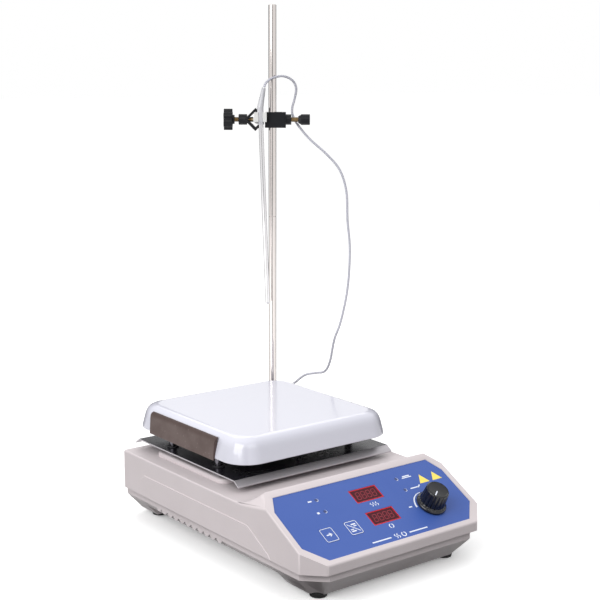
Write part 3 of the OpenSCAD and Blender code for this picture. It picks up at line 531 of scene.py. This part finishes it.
def joined(name, pieces):
    bpy.ops.object.select_all(action="DESELECT")
    for piece in pieces:
        piece.select_set(True)
    bpy.context.view_layer.objects.active = pieces[0]
    bpy.ops.object.join()
    pieces[0].name = pieces[0].data.name = name
    return pieces[0]


def dress(piece, material, body, slot, *stands_for):
    """Gives a finished piece its material and its body, and hides the nodes it stands for. slot:
    not used.
    """
    piece.data.materials.clear()
    piece.data.materials.append(MATERIALS[material])
    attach(piece, body)
    if stands_for:
        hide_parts(*stands_for)
    return piece


def merged_copy(node, name):
    """A copy of a CAD node with its loose triangles merged into whole faces."""
    piece = NODES[node].copy()
    piece.data = NODES[node].data.copy()
    piece.parent = None
    piece.name = piece.data.name = name
    bpy.context.collection.objects.link(piece)
    begin(piece)
    bpy.ops.mesh.select_all(action="SELECT")
    bpy.ops.mesh.remove_doubles(threshold=0.000002)
    bpy.ops.mesh.dissolve_limited(angle_limit=math.radians(1))
    end()
    return piece


# Edges that turn by more than the first angle are eased, and below the second they look smooth
EASE_FROM = 40
SMOOTH_BELOW = 32


def eased(node, width, material=None, segments=2):
    """The node's own shape with its sharp edges eased, as a moulding or a machined part has.
    A node takes the material named after its slot, unless another is given."""
    piece = merged_copy(node, node + "_finish")
    apply_modifier(piece, "BEVEL", width=width, segments=segments, limit_method="ANGLE",
                   angle_limit=math.radians(EASE_FROM), harden_normals=False)
    smooth(piece, SMOOTH_BELOW)
    slot = SLOT_OF[node]
    return dress(piece, material or slot, BODY_OF[node], slot, node)


# ---------- the cable ----------

CABLE_D = 2.4 * MM
CABLE_ROUTE = [(45, 180, 47), (45, 185.5, 47), (46.5, 191.5, 47.6), (55, 196, 52), (71, 194, 61),
               (91, 188, 74), (109, 179, 85), (121, 168, 94), (128.5, 156, 105.5),
               (134.5, 144, 109.5), (138, 133, 113), (139.5, 126, 125), (139.5, 119, 150),
               (143.5, 113, 171), (148.5, 108.5, 207), (150.5, 108, 247), (149, 110.5, 278),
               (148.5, 112, 307), (143.5, 117, 329.5), (133.5, 126, 345.5), (120, 138, 361.5),
               (111, 146, 375.5), (107, 149.5, 385), (106.5, 150.3, 393), (108, 148, 403),
               (107.5, 145, 413.5), (102, 144.5, 421.5), (92, 147, 425.6), (81, 149.5, 423.8),
               (74.4, 151.2, 419.6), (72, 152.3, 414.6)]
CABLE_STEPS = 6
CABLE_SIDES = 16


def spline_point(points, i, t):
    """A place on the smooth curve through the points, t of the way from point i to the next."""
    a = points[max(i - 1, 0)]
    b = points[i]
    c = points[i + 1]
    d = points[min(i + 2, len(points) - 1)]
    return 0.5 * (2 * b + (c - a) * t + (2 * a - 5 * b + 4 * c - d) * t * t
                  + (3 * b - a - 3 * c + d) * t ** 3)


def smooth_route():
    points = [Vector(p) * MM for p in CABLE_ROUTE]
    line = [spline_point(points, i, k / CABLE_STEPS)
            for i in range(len(points) - 1) for k in range(CABLE_STEPS)]
    return line + [points[-1]]


def tube_mesh(name, line, radius, sides):
    """A tube along a line, with its length and its turn as UVs."""
    mesh = bmesh.new()
    uv = mesh.loops.layers.uv.new("UVMap")
    rings, lengths = [], [0.0]
    across = Vector((1, 0, 0))
    for i, point in enumerate(line):
        ahead = (line[min(i + 1, len(line) - 1)] - line[max(i - 1, 0)]).normalized()
        across = (across - ahead * across.dot(ahead)).normalized()
        side = ahead.cross(across)
        turns = [2 * math.pi * k / sides for k in range(sides)]
        rings.append([mesh.verts.new(point + radius * (across * math.cos(t) + side * math.sin(t)))
                      for t in turns])
        if i:
            lengths.append(lengths[-1] + (point - line[i - 1]).length)
    for i in range(len(line) - 1):
        for k in range(sides):
            n = (k + 1) % sides
            face = mesh.faces.new((rings[i][k], rings[i][n], rings[i + 1][n], rings[i + 1][k]))
            face.smooth = True
            places = ((i, k), (i, k + 1), (i + 1, k + 1), (i + 1, k))
            for loop, (ring, turn) in zip(face.loops, places):
                loop[uv].uv = (lengths[ring], turn / sides)
    mesh.faces.new(list(reversed(rings[0])))
    mesh.faces.new(rings[-1])
    data = bpy.data.meshes.new(name)
    mesh.to_mesh(data)
    mesh.free()
    piece = bpy.data.objects.new(name, data)
    bpy.context.collection.objects.link(piece)
    return piece, lengths[-1]


def make_cable():
    line = smooth_route()
    cable, length = tube_mesh("probe_cable_braid", line, CABLE_D / 2, CABLE_SIDES)
    cable.data.materials.append(MATERIALS["cable_braid"])
    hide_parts("probe_cable")
    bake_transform(cable)


# ---------- housing ----------

def make_housing():
    for node, width in {"base_tray": 0.6, "rubber_feet": 0.8, "rod_bracket": 0.9,
                        "mains_inlet": 0.5, "fuse_drawer": 0.4, "switch_frame": 0.5,
                        "switch_rocker": 0.8, "probe_socket": 0.3, "probe_plug": 0.4,
                        "rear_screws": 0.3, "rod_lock_screw": 0.3}.items():
        eased(node, width * MM)
    make_upper_shell()


def convex_angle(edge):
    """Degrees that the surface turns by over an outside edge, or 0 for an inside corner."""
    if len(edge.link_faces) != 2:
        return 0
    return max(0, math.degrees(edge.calc_face_angle_signed(0)))


def weigh_edges(piece, rules):
    """Gives each outside edge the bevel weight of the first rule that its middle passes.
    rules: (weight, least angle in degrees, test)."""
    mesh = bmesh.from_edit_mesh(piece.data)
    weights = mesh.edges.layers.float.get("bevel_weight_edge")
    weights = weights or mesh.edges.layers.float.new("bevel_weight_edge")
    for edge in mesh.edges:
        mid = (edge.verts[0].co + edge.verts[1].co) / 2
        angle = convex_angle(edge)
        for weight, least, test in rules:
            if angle > least and test(mid):
                edge[weights] = weight(mid) if callable(weight) else weight
                break
    bmesh.update_edit_mesh(piece.data)


# Where the deck starts to narrow beside the curve up to the panel, and the curve's front and back
VALLEY_Y = -36 * MM
CURVE_Y = (-71 * MM, -38 * MM)
POST_R = 3.6 * MM


def make_upper_shell():
    shell = merged_copy("upper_shell", "upper_shell_finish")
    low, high = (Vector(c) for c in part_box("upper_shell"))
    field = 0.6 * MM
    half_w = high.x - field
    deck_z = 66.5 * MM
    platform_z = 70.5 * MM
    near = 0.25 * MM
    bores = post_places()

    def on_panel_face(mid):
        """On the overlay's seat, whose edges stay sharp."""
        spot = PANEL.inverted() @ mid
        return abs(spot.x) < 97.2 * MM and -1 * MM < spot.y < 77.2 * MM and abs(spot.z) < 1.5 * MM

    def at_bore(mid):
        return any((mid.xy - place).length < 6 * MM for place in bores)

    def deck_edge(mid):
        return abs(mid.z - deck_z) < near and (abs(mid.x) > 98 * MM or mid.y > high.y - 4 * MM)

    def hood_edge(mid):
        return abs(mid.x) > half_w - 12 * MM and CURVE_Y[0] < mid.y < CURVE_Y[1] \
            and mid.z > deck_z - near

    def growing(mid):
        """Nothing at the deck's end of the curve, and a full round at the top of it."""
        return min(0.7, max(0.1, (VALLEY_Y - 3 * MM - mid.y) / (22 * MM)))

    def platform_edge(mid):
        return abs(mid.z - platform_z) < near and not at_bore(mid)

    def field_edge(mid):
        return abs(mid.x) > half_w + near

    def front_edge(mid):
        spot = PANEL.inverted() @ mid
        return spot.z > -near and mid.y < -40 * MM and mid.z > 36 * MM

    def corner_edge(mid):
        return mid.y < -110 * MM and mid.z < 46 * MM and mid.z > low.z + 1 * MM

    begin(shell)
    bpy.ops.mesh.select_all(action="SELECT")
    bpy.ops.mesh.bisect(plane_co=(0, VALLEY_Y, 0), plane_no=(0, 1, 0))
    weigh_edges(shell, [
        (0, -1, on_panel_face), (0.2, 25, field_edge), (growing, 25, hood_edge),
        (0.15, 25, lambda mid: deck_edge(mid) and mid.y < VALLEY_Y),
        (0.8, 25, deck_edge), (1, 25, platform_edge), (0.6, 18, front_edge),
        (0.6, 25, corner_edge)])
    end()
    apply_modifier(shell, "BEVEL", width=2.4 * MM, segments=4, limit_method="WEIGHT",
                   use_clamp_overlap=False)
    smooth(shell, 35)
    dress(shell, "shell_plastic", "housing", "shell_plastic", "upper_shell")


def post_places():
    """Where the four posts stand, from the box round all of them."""
    low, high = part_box("plate_posts")
    r = POST_R
    return [Vector((x, y)) for x in (low[0] + r, high[0] - r) for y in (low[1] + r, high[1] - r)]


# ---------- hot plate ----------

# Sections of the plate from its lip up to its crown: half its width, height and corner radius
PLATE_SECTIONS = [(90.6, 90.5, 25.5), (90.1, 93.1, 25), (88.6, 99, 23.5), (87.2, 104, 22.1),
                  (86.2, 106.4, 21.1), (84.9, 108.6, 19.8), (83, 110.6, 17.9), (80.2, 112.1, 16.5),
                  (77.5, 112.75, 15.5), (75.2, 112.9, 15)]


def rounded_outline(name, half, radius, centre):
    """A square outline with rounded corners, as edges alone."""
    outline = primitive(name, "plane", centre, (2 * half, 2 * half, 1), size=1)
    begin(outline)
    bpy.ops.mesh.select_all(action="SELECT")
    bpy.ops.mesh.bevel(offset=radius, segments=12, affect="VERTICES")
    bpy.ops.mesh.select_all(action="SELECT")
    bpy.ops.mesh.delete(type="ONLY_FACE")
    end()
    return outline


def make_top_plate():
    centre = middle("top_plate")
    rings = [rounded_outline(f"plate_ring_{i}", half * MM, radius * MM,
                             (centre.x, centre.y, z * MM))
             for i, (half, z, radius) in enumerate(PLATE_SECTIONS)]
    plate = joined("top_plate_enamel", rings)
    heights = [z * MM for _, z, _ in PLATE_SECTIONS]
    near = 0.02 * MM
    begin(plate)
    for under, over in zip(heights, heights[1:]):
        pick_edges(plate, lambda mid, way: min(abs(mid.z - under), abs(mid.z - over)) < near
                   and abs(way.z) < 0.01)
        bpy.ops.mesh.bridge_edge_loops()
    pick_edges(plate, lambda mid, way: abs(mid.z - heights[-1]) < near)
    bpy.ops.mesh.edge_face_add()
    bpy.ops.mesh.select_all(action="SELECT")
    bpy.ops.mesh.normals_make_consistent(inside=False)
    end()
    apply_modifier(plate, "SOLIDIFY", thickness=2.6 * MM, offset=-1)
    apply_modifier(plate, "BEVEL", width=0.7 * MM, segments=3, limit_method="ANGLE",
                   angle_limit=math.radians(60))
    smooth(plate, 40)
    dress(plate, "enamel_white", "housing", "enamel_white", "top_plate")


# The side sheet's outer face, from its lower edge up and over its bend, and its front flange's
# inner edge at each of those heights
SHEET_FACE = [(-92.3, 89), (-91.2, 105.2), (-90.6, 107.6), (-89.3, 109.2), (-87.2, 110)]
SHEET_FLANGE = [-90.9, -87.6, -87, -86.4, -86.2]
SHEET_T = 0.9 * MM

# The two hidden studs between the side sheet and the plate
STUD_X = -89.7
STUD_Z = 98
STUD_YS = (35, 90)


def make_side_plate():
    low, high = (Vector(c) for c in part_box("side_plate"))
    step = 0.1
    sheet = primitive("side_plate_sheet", "grid", x_subdivisions=len(SHEET_FACE) - 1,
                      y_subdivisions=1, size=2)
    for vert in sheet.data.vertices:
        place = round((vert.co.x + 1) / 2 * (len(SHEET_FACE) - 1))
        x, z = SHEET_FACE[place]
        vert.co = (x * MM, low.y if vert.co.y < 0 else high.y, z * MM)
    begin(sheet)
    bpy.ops.mesh.select_all(action="SELECT")
    bpy.ops.mesh.normals_make_consistent(inside=False)
    pick_edges(sheet, lambda mid, way: abs(way.y) < 0.1 and mid.y < low.y + 0.1 * MM)
    bpy.ops.mesh.extrude_region_move(TRANSFORM_OT_translate={"value": (step * MM, 0, 0)})
    end()
    for vert in sheet.data.vertices:
        for (x, z), inner in zip(SHEET_FACE, SHEET_FLANGE):
            if (vert.co - Vector(((x + step) * MM, low.y, z * MM))).length < 0.02 * MM:
                vert.co.x = inner * MM
    inward = -1 if sheet_faces_out(sheet) else 1
    apply_modifier(sheet, "SOLIDIFY", thickness=SHEET_T, offset=inward)
    apply_modifier(sheet, "BEVEL", width=0.22 * MM, segments=2, limit_method="ANGLE",
                   angle_limit=math.radians(50))
    smooth(sheet, 35)
    studs = []
    for y in STUD_YS:
        stud = primitive(f"side_stud_{y}", "cylinder", vertices=20, radius=2 * MM, depth=3 * MM)
        turn = Matrix.Rotation(math.pi / 2, 4, "Y")
        studs.append(put(stud, Matrix.Translation((STUD_X * MM, y * MM, STUD_Z * MM)) @ turn))
    joined("side_plate_sheet", [sheet] + studs)
    dress(sheet, "tinted_steel", "housing", "tinted_steel", "side_plate")


def sheet_faces_out(sheet):
    """Whether the sheet's largest face looks away from the hot plate."""
    return max(sheet.data.polygons, key=lambda face: face.area).normal.x < 0


def make_hot_plate():
    make_top_plate()
    make_side_plate()
    shield = eased("heat_shield", 0.35 * MM, segments=3)
    # The large flat top face under the plate takes the darker copy: painted shade
    shield.data.materials.append(MATERIALS["shield_painted_shade"])
    for face in shield.data.polygons:
        face.material_index = 1 if abs(face.normal.z) > 0.98 and face.area > 0.001 else 0
    eased("heater_cover", 0.3 * MM)
    # The posts take the darkened chrome: painted dark reflection
    eased("plate_posts", 0.3 * MM, material="post_chrome_painted_dark")
    for node in ("post_washers", "post_spacers"):
        eased(node, 0.3 * MM)


# ---------- control panel ----------

PRINT_T = 0.05 * MM


def flat_ring(name, w, h, r, line):
    """A rounded rectangular outline, printed on the panel round the origin."""
    piece = primitive(name, "plane", (0, 0, 0), (w, h, 1), size=1)
    begin(piece)
    bpy.ops.mesh.select_all(action="SELECT")
    bpy.ops.mesh.bevel(offset=r, segments=6, affect="VERTICES")
    bpy.ops.mesh.select_all(action="SELECT")
    bpy.ops.mesh.inset(thickness=line)
    bpy.ops.mesh.delete(type="FACE")
    end()
    return thicken(piece, PRINT_T)


def thicken(piece, lift):
    """Gives a flat shape its thickness, upwards."""
    begin(piece)
    bpy.ops.mesh.select_all(action="SELECT")
    bpy.ops.mesh.extrude_region_move(TRANSFORM_OT_translate={"value": (0, 0, lift)})
    bpy.ops.mesh.select_all(action="SELECT")
    bpy.ops.mesh.normals_make_consistent(inside=False)
    end()
    return piece


def flat_shape(name, points, lift=PRINT_T):
    """A flat printed shape with its outline given in millimetres on the panel."""
    piece = primitive(name, "circle", vertices=len(points), radius=1, fill_type="NGON")
    for vert, (x, y) in zip(piece.data.vertices, points):
        vert.co = (x * MM, y * MM, 0)
    begin(piece)
    bpy.ops.mesh.select_all(action="SELECT")
    bpy.ops.mesh.normals_make_consistent(inside=False)
    end()
    return thicken(piece, lift)


def bar_points(a, b, width):
    """Outline of a straight bar between two places."""
    a, b = Vector(a), Vector(b)
    side = (b - a).orthogonal().normalized() * width / 2
    return [a + side, a - side, b - side, b + side]


def arc_points(centre, radius, start, stop, width_a, width_b, count=14):
    """Outline of a band along an arc, in degrees clockwise from straight up."""
    def at(angle, r):
        return (centre[0] + r * math.sin(math.radians(angle)),
                centre[1] + r * math.cos(math.radians(angle)))
    steps = [k / count for k in range(count + 1)]
    outer = [at(start + (stop - start) * t, radius + (width_a + (width_b - width_a) * t) / 2)
             for t in steps]
    inner = [at(start + (stop - start) * t, radius - (width_a + (width_b - width_a) * t) / 2)
             for t in steps]
    return outer + inner[::-1]


def print_marks(name, outlines, material="print_white"):
    """Joins flat shapes into one printed piece on the overlay."""
    marks = joined(name, [flat_shape(f"{name}_{i}", points)
                          for i, points in enumerate(outlines)])
    put(marks, PANEL)
    dress(marks, material, "housing", "overlay_blue")


def heat_wave(x, y, size):
    """A short S-shaped stroke, the usual sign for heat."""
    steps = [k / 10 for k in range(11)]
    line = [(x + 0.22 * size * math.sin(2 * math.pi * t), y + size * (t - 0.5)) for t in steps]
    return ([(px - 0.09 * size, py) for px, py in line]
            + [(px + 0.09 * size, py) for px, py in line[::-1]])


# The four indicators on the panel, across and up the slope, in millimetres
LED_PLACES = [(-50.3, 62.8), (-50.3, 48.9), (42, 63), (42, 49)]


def make_panel_print():
    knob = tuple(c / MM for c in on_panel("pot_shaft"))
    temp = tuple(c / MM for c in on_panel("temp_window"))
    rpm = tuple(c / MM for c in on_panel("rpm_window"))
    print_marks("scale_arc_print", [
        arc_points(knob, 15.7, -86, -2, 1.7, 0.5),
        bar_points((31.3, 29.7), (34.9, 29.7), 1.2)])
    print_marks("temp_sign_print", [
        heat_wave(temp[0] + dx, temp[1] - 12.6, 4.4) for dx in (-3, 0, 3)])
    print_marks("speed_sign_print", [
        arc_points((rpm[0], rpm[1] - 12.4), 2.1, 20, 170, 0.8, 0.8),
        arc_points((rpm[0], rpm[1] - 12.4), 2.1, 200, 350, 0.8, 0.8)])
    print_marks("title_strip_print", [
        bar_points((-30, 4.8), (-9, 4.8), 1.2), bar_points((12, 4.8), (33, 4.8), 1.2),
        heat_wave(-3.4, 4.8, 5.0), heat_wave(-0.6, 4.8, 5.0),
        arc_points((5.6, 4.8), 2.2, 20, 340, 0.9, 0.9)])
    print_marks("left_sign_print", [
        bar_points((-59.5, 62.8), (-55.5, 62.8), 1.4),
        bar_points((-58.8, 48.9), (-56.3, 48.9), 2)])
    print_marks("right_sign_print", [
        bar_points((48.5, 62.2), (59.5, 62.2), 1.0), bar_points((50, 63.9), (58, 63.9), 1.2),
        bar_points((48.5, 48.9), (58.5, 48.9), 1.2), bar_points((57.2, 48.2), (60.6, 50.6), 1.2)])
    print_marks("caution_print", [
        [(62.5, 51.6), (74.2, 51.6), (68.6, 61.7)], [(78.1, 51.6), (89.6, 51.6), (84.2, 61.7)]],
        "print_yellow")


def make_led_glints():
    """Small dark lenses, each with a painted highlight: a bright white crescent printed round one
    side of it.
    """
    eased("indicator_leds", 0.5 * MM, segments=3)
    # The crescents are painted highlights, printed white on the panel
    outlines = [arc_points((u, v), 1.75, 20, 200, 0.15, 0.5) for u, v in LED_PLACES]
    print_marks("led_painted_highlight", outlines)


# A key's printed frame, in millimetres: its width, height, corner radius and line
KEY_FRAME = (12.8, 14.6, 1.8, 0.5)


def make_keys():
    for node, divided in (("unit_key", False), ("mode_key", True)):
        eased(node, 0.25 * MM)
        u, v = on_panel(node)
        top = 0.2 * MM
        ring = flat_ring(node + "_outline", *(size * MM for size in KEY_FRAME))
        if divided:
            marks = [bar_points((-4.6, 4.6), (4.6, -4.6), 0.7),
                     bar_points((-0.6, 3.6), (4.2, 3.6), 1.3),
                     bar_points((0.8, 1.6), (4.2, 1.6), 0.9),
                     bar_points((-4.2, -3.6), (0.6, -3.6), 1.3),
                     bar_points((-4.2, -1.6), (-0.8, -1.6), 0.9)]
        else:
            marks = [bar_points((-2.6, 0), (2.6, 0), 1.1),
                     bar_points((0.6, 1.8), (3.1, -0.1), 0.9),
                     bar_points((0.6, -1.8), (3.1, 0.1), 0.9)]
        shapes = [flat_shape(f"{node}_mark_{i}", points) for i, points in enumerate(marks)]
        sign = joined(node + "_print", [ring] + shapes)
        put(sign, PANEL @ Matrix.Translation((u, v, top)))
        dress(sign, "print_white", BODY_OF[node], "overlay_blue")


# The digits' seven bars, in millimetres, and the width, height and depth of a window's red rim
# and of its dark face
SEGMENT_L = 3.9
SEGMENT_W = 0.62
DIGIT_PITCH = 6.3
DIGIT_LEAN = 0.16
DIGIT_SIZE = 0.93
WINDOW_RIM = (30.6, 15.3, 1.7)
WINDOW_FACE = (28.3, 13, 0.3)


def segment_outline(x, y, upright):
    """One bar of a seven-bar digit, with pointed ends."""
    half, w = SEGMENT_L / 2, SEGMENT_W / 2
    shape = [(-half, 0), (-half + w, w), (half - w, w), (half, 0), (half - w, -w), (-half + w, -w)]
    if upright:
        shape = [(-b, a) for a, b in shape]
    return [(x + a + DIGIT_LEAN * (y + b), y + b) for a, b in shape]


def digit_outlines(x):
    h = SEGMENT_L + 0.35
    w = SEGMENT_L / 2 + 0.2
    level = [segment_outline(x, y, False) for y in (-h, 0, h)]
    upright = [segment_outline(x + side * w, y * h / 2, True) for side in (-1, 1) for y in (-1, 1)]
    return level + upright


def make_windows():
    for node in ("temp_window", "rpm_window"):
        u, v = on_panel(node)
        place = PANEL @ Matrix.Translation((u, v, 0))
        rim = primitive(node + "_rim", "cube", (0, 0, -0.95 * MM),
                        tuple(side * MM for side in WINDOW_RIM), size=1)
        begin(rim)
        pick_faces(rim, lambda mid, normal: normal.z > 0.9)
        bpy.ops.mesh.inset(thickness=1.1 * MM)
        bpy.ops.mesh.extrude_region_move(TRANSFORM_OT_translate={"value": (0, 0, -0.5 * MM)})
        end()
        apply_modifier(rim, "BEVEL", width=0.2 * MM, segments=2, limit_method="ANGLE",
                       angle_limit=math.radians(50))
        put(rim, place)
        dress(rim, "window_rim", "housing", "window_red", node)
        face = primitive(node + "_face", "cube", (0, 0, -0.4 * MM),
                         tuple(side * MM for side in WINDOW_FACE), size=1)
        apply_modifier(face, "BEVEL", width=0.08 * MM, segments=2)
        put(face, place)
        dress(face, "window_face", "housing", "display_black")
        bars = [flat_shape(f"bar_{i}", points, 0.04 * MM) for i, points in enumerate(
            sum((digit_outlines((k - 1.5) * DIGIT_PITCH) for k in range(4)), []))]
        digits = joined(node + "_digits", bars)
        put(digits, place @ Matrix.Translation((0, 0, -0.26 * MM)) @ Matrix.Scale(DIGIT_SIZE, 4))
        dress(digits, "digit_segment", "housing", "display_black")


# The knob's ribs, the steps turned for each, the share that a flute takes off the radius, the
# barrel's span of radius and height in millimetres, and the pointer's turn at rest
KNOB_RIBS = 18
STEPS_PER_RIB = 10
FLUTE_DEPTH = 0.075
BARREL_R = (10.2, 12)
BARREL_Z = (3.5, 17)
POINTER_TURN = 125


def make_knob():
    """A turned profile, with its barrel drawn in at even turns to make the flutes."""
    node_low, node_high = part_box("speed_knob")
    skirt = (node_high[0] - node_low[0]) / 2 / MM
    profile = [(0.2, 17.2), (8.5, 17.3), (9.1, 17.95), (9.9, 17.9), (10.45, 17.2), (10.7, 16.2),
               (11.7, 4.4), (11.9, 3.6), (skirt - 1.1, 2.9), (skirt - 0.4, 2.3),
               (skirt - 0.02, 1.1), (skirt - 0.5, 0.05), (7.2, 0.05)]
    mesh = bmesh.new()
    verts = [mesh.verts.new((r * MM, 0, z * MM)) for r, z in profile]
    for a, b in zip(verts, verts[1:]):
        mesh.edges.new((a, b))
    data = bpy.data.meshes.new("knob")
    mesh.to_mesh(data)
    mesh.free()
    knob = bpy.data.objects.new("speed_knob_finish", data)
    bpy.context.collection.objects.link(knob)
    begin(knob)
    bpy.ops.mesh.select_all(action="SELECT")
    bpy.ops.mesh.spin(steps=KNOB_RIBS * STEPS_PER_RIB, angle=2 * math.pi, center=(0, 0, 0),
                      axis=(0, 0, 1))
    bpy.ops.mesh.select_all(action="SELECT")
    bpy.ops.mesh.remove_doubles(threshold=0.00001)
    bpy.ops.mesh.edge_face_add()
    end()
    begin(knob)
    bpy.ops.mesh.select_mode(type="EDGE")
    bpy.ops.mesh.select_non_manifold()
    bpy.ops.mesh.fill_holes(sides=0)
    bpy.ops.mesh.select_all(action="SELECT")
    bpy.ops.mesh.normals_make_consistent(inside=False)
    end()
    for vert in knob.data.vertices:
        radius = vert.co.xy.length / MM
        height = vert.co.z / MM
        if BARREL_R[0] < radius < BARREL_R[1] and BARREL_Z[0] < height < BARREL_Z[1]:
            turn = math.atan2(vert.co.y, vert.co.x)
            dip = max(0, math.cos(KNOB_RIBS * turn)) ** 1.5
            vert.co.xy *= 1 - FLUTE_DEPTH * dip
    smooth(knob, 50)
    axis_at = PANEL.inverted() @ Vector(JOINTS["speed_knob_turn"]["pos_m"])
    seat = PANEL @ Matrix.Translation((axis_at.x, axis_at.y, 0.6 * MM))
    put(knob, seat)
    dress(knob, "knob_black", "speed_knob", "knob_black", "speed_knob")
    pointer = primitive("knob_pointer", "cube", (0, 5.6 * MM, 17.4 * MM),
                        (1.1 * MM, 6.6 * MM, 0.4 * MM), size=1)
    apply_modifier(pointer, "BEVEL", width=0.15 * MM, segments=2)
    put(pointer, seat @ Matrix.Rotation(math.radians(POINTER_TURN), 4, "Z"))
    dress(pointer, "print_white", "speed_knob", "knob_black")


def make_panel():
    eased("panel_overlay", 0.12 * MM)
    make_windows()
    make_panel_print()
    make_led_glints()
    make_keys()
    make_knob()


# ---------- rod, clamp and probe ----------

def make_rod_and_clamp():
    for node, width in {"lower_rod": 0.2, "upper_rod": 0.9, "clamp_body": 0.7,
                        "rod_screw_knob": 0.5, "holder_screw_knob": 0.7, "probe_holder": 0.6,
                        "probe_tube": 0.1, "probe_sleeve": 0.3}.items():
        eased(node, width * MM, segments=3)
    for node in ("rod_screw", "holder_screw"):
        make_threaded_screw(node)


# A clamp screw, and the share of its radius that is left between two rings of its thread
SCREW_R = 2.5 * MM
THREAD_PITCH = 0.8 * MM
THREAD_CORE = 0.86


def make_threaded_screw(node):
    """A screw whose thread shows as close rings on its core."""
    own = CLAMP.inverted()
    corners = [own @ vert.co for vert in NODES[node].data.vertices]
    start = min(c.x for c in corners)
    stop = max(c.x for c in corners)
    pitch = THREAD_PITCH
    count = int((stop - start) / pitch)
    screw = primitive(node + "_finish", "cylinder", vertices=24, radius=SCREW_R,
                      depth=stop - start)
    begin(screw)
    for k in range(2 * count + 1):
        bpy.ops.mesh.select_all(action="SELECT")
        bpy.ops.mesh.bisect(plane_co=(0, 0, (k / 2 - count / 2) * pitch), plane_no=(0, 0, 1))
    end()
    for vert in screw.data.vertices:
        step = round((vert.co.z / pitch + count / 2) * 2)
        if step % 2 and abs(vert.co.z) < (stop - start) / 2 - 0.2 * pitch:
            vert.co.xy *= THREAD_CORE
    smooth(screw, 20)
    turn = Matrix.Rotation(math.pi / 2, 4, "Y")
    put(screw, CLAMP @ Matrix.Translation(((start + stop) / 2, 0, 0)) @ turn)
    dress(screw, "contact_brass", BODY_OF[node], "contact_brass", node)


# ---------- everything else keeps its CAD shape ----------

def strip_cad_materials():
    for piece in NODES.values():
        piece.data.materials.clear()
    for material in list(bpy.data.materials):
        bpy.data.materials.remove(material)


# Slots whose pieces take more than one material: the one a plain CAD node gets
PLAIN = {"window_red": "window_rim", "display_black": "black_plastic"}


def paint_cad_nodes():
    for node, piece in NODES.items():
        slot = SLOT_OF[node]
        piece.data.materials.append(MATERIALS[PLAIN.get(slot, slot)])


strip_cad_materials()
make_camera()
MATERIALS = make_materials()
make_studio()
paint_cad_nodes()
make_housing()
make_cable()
make_hot_plate()
make_panel()
make_rod_and_clamp()
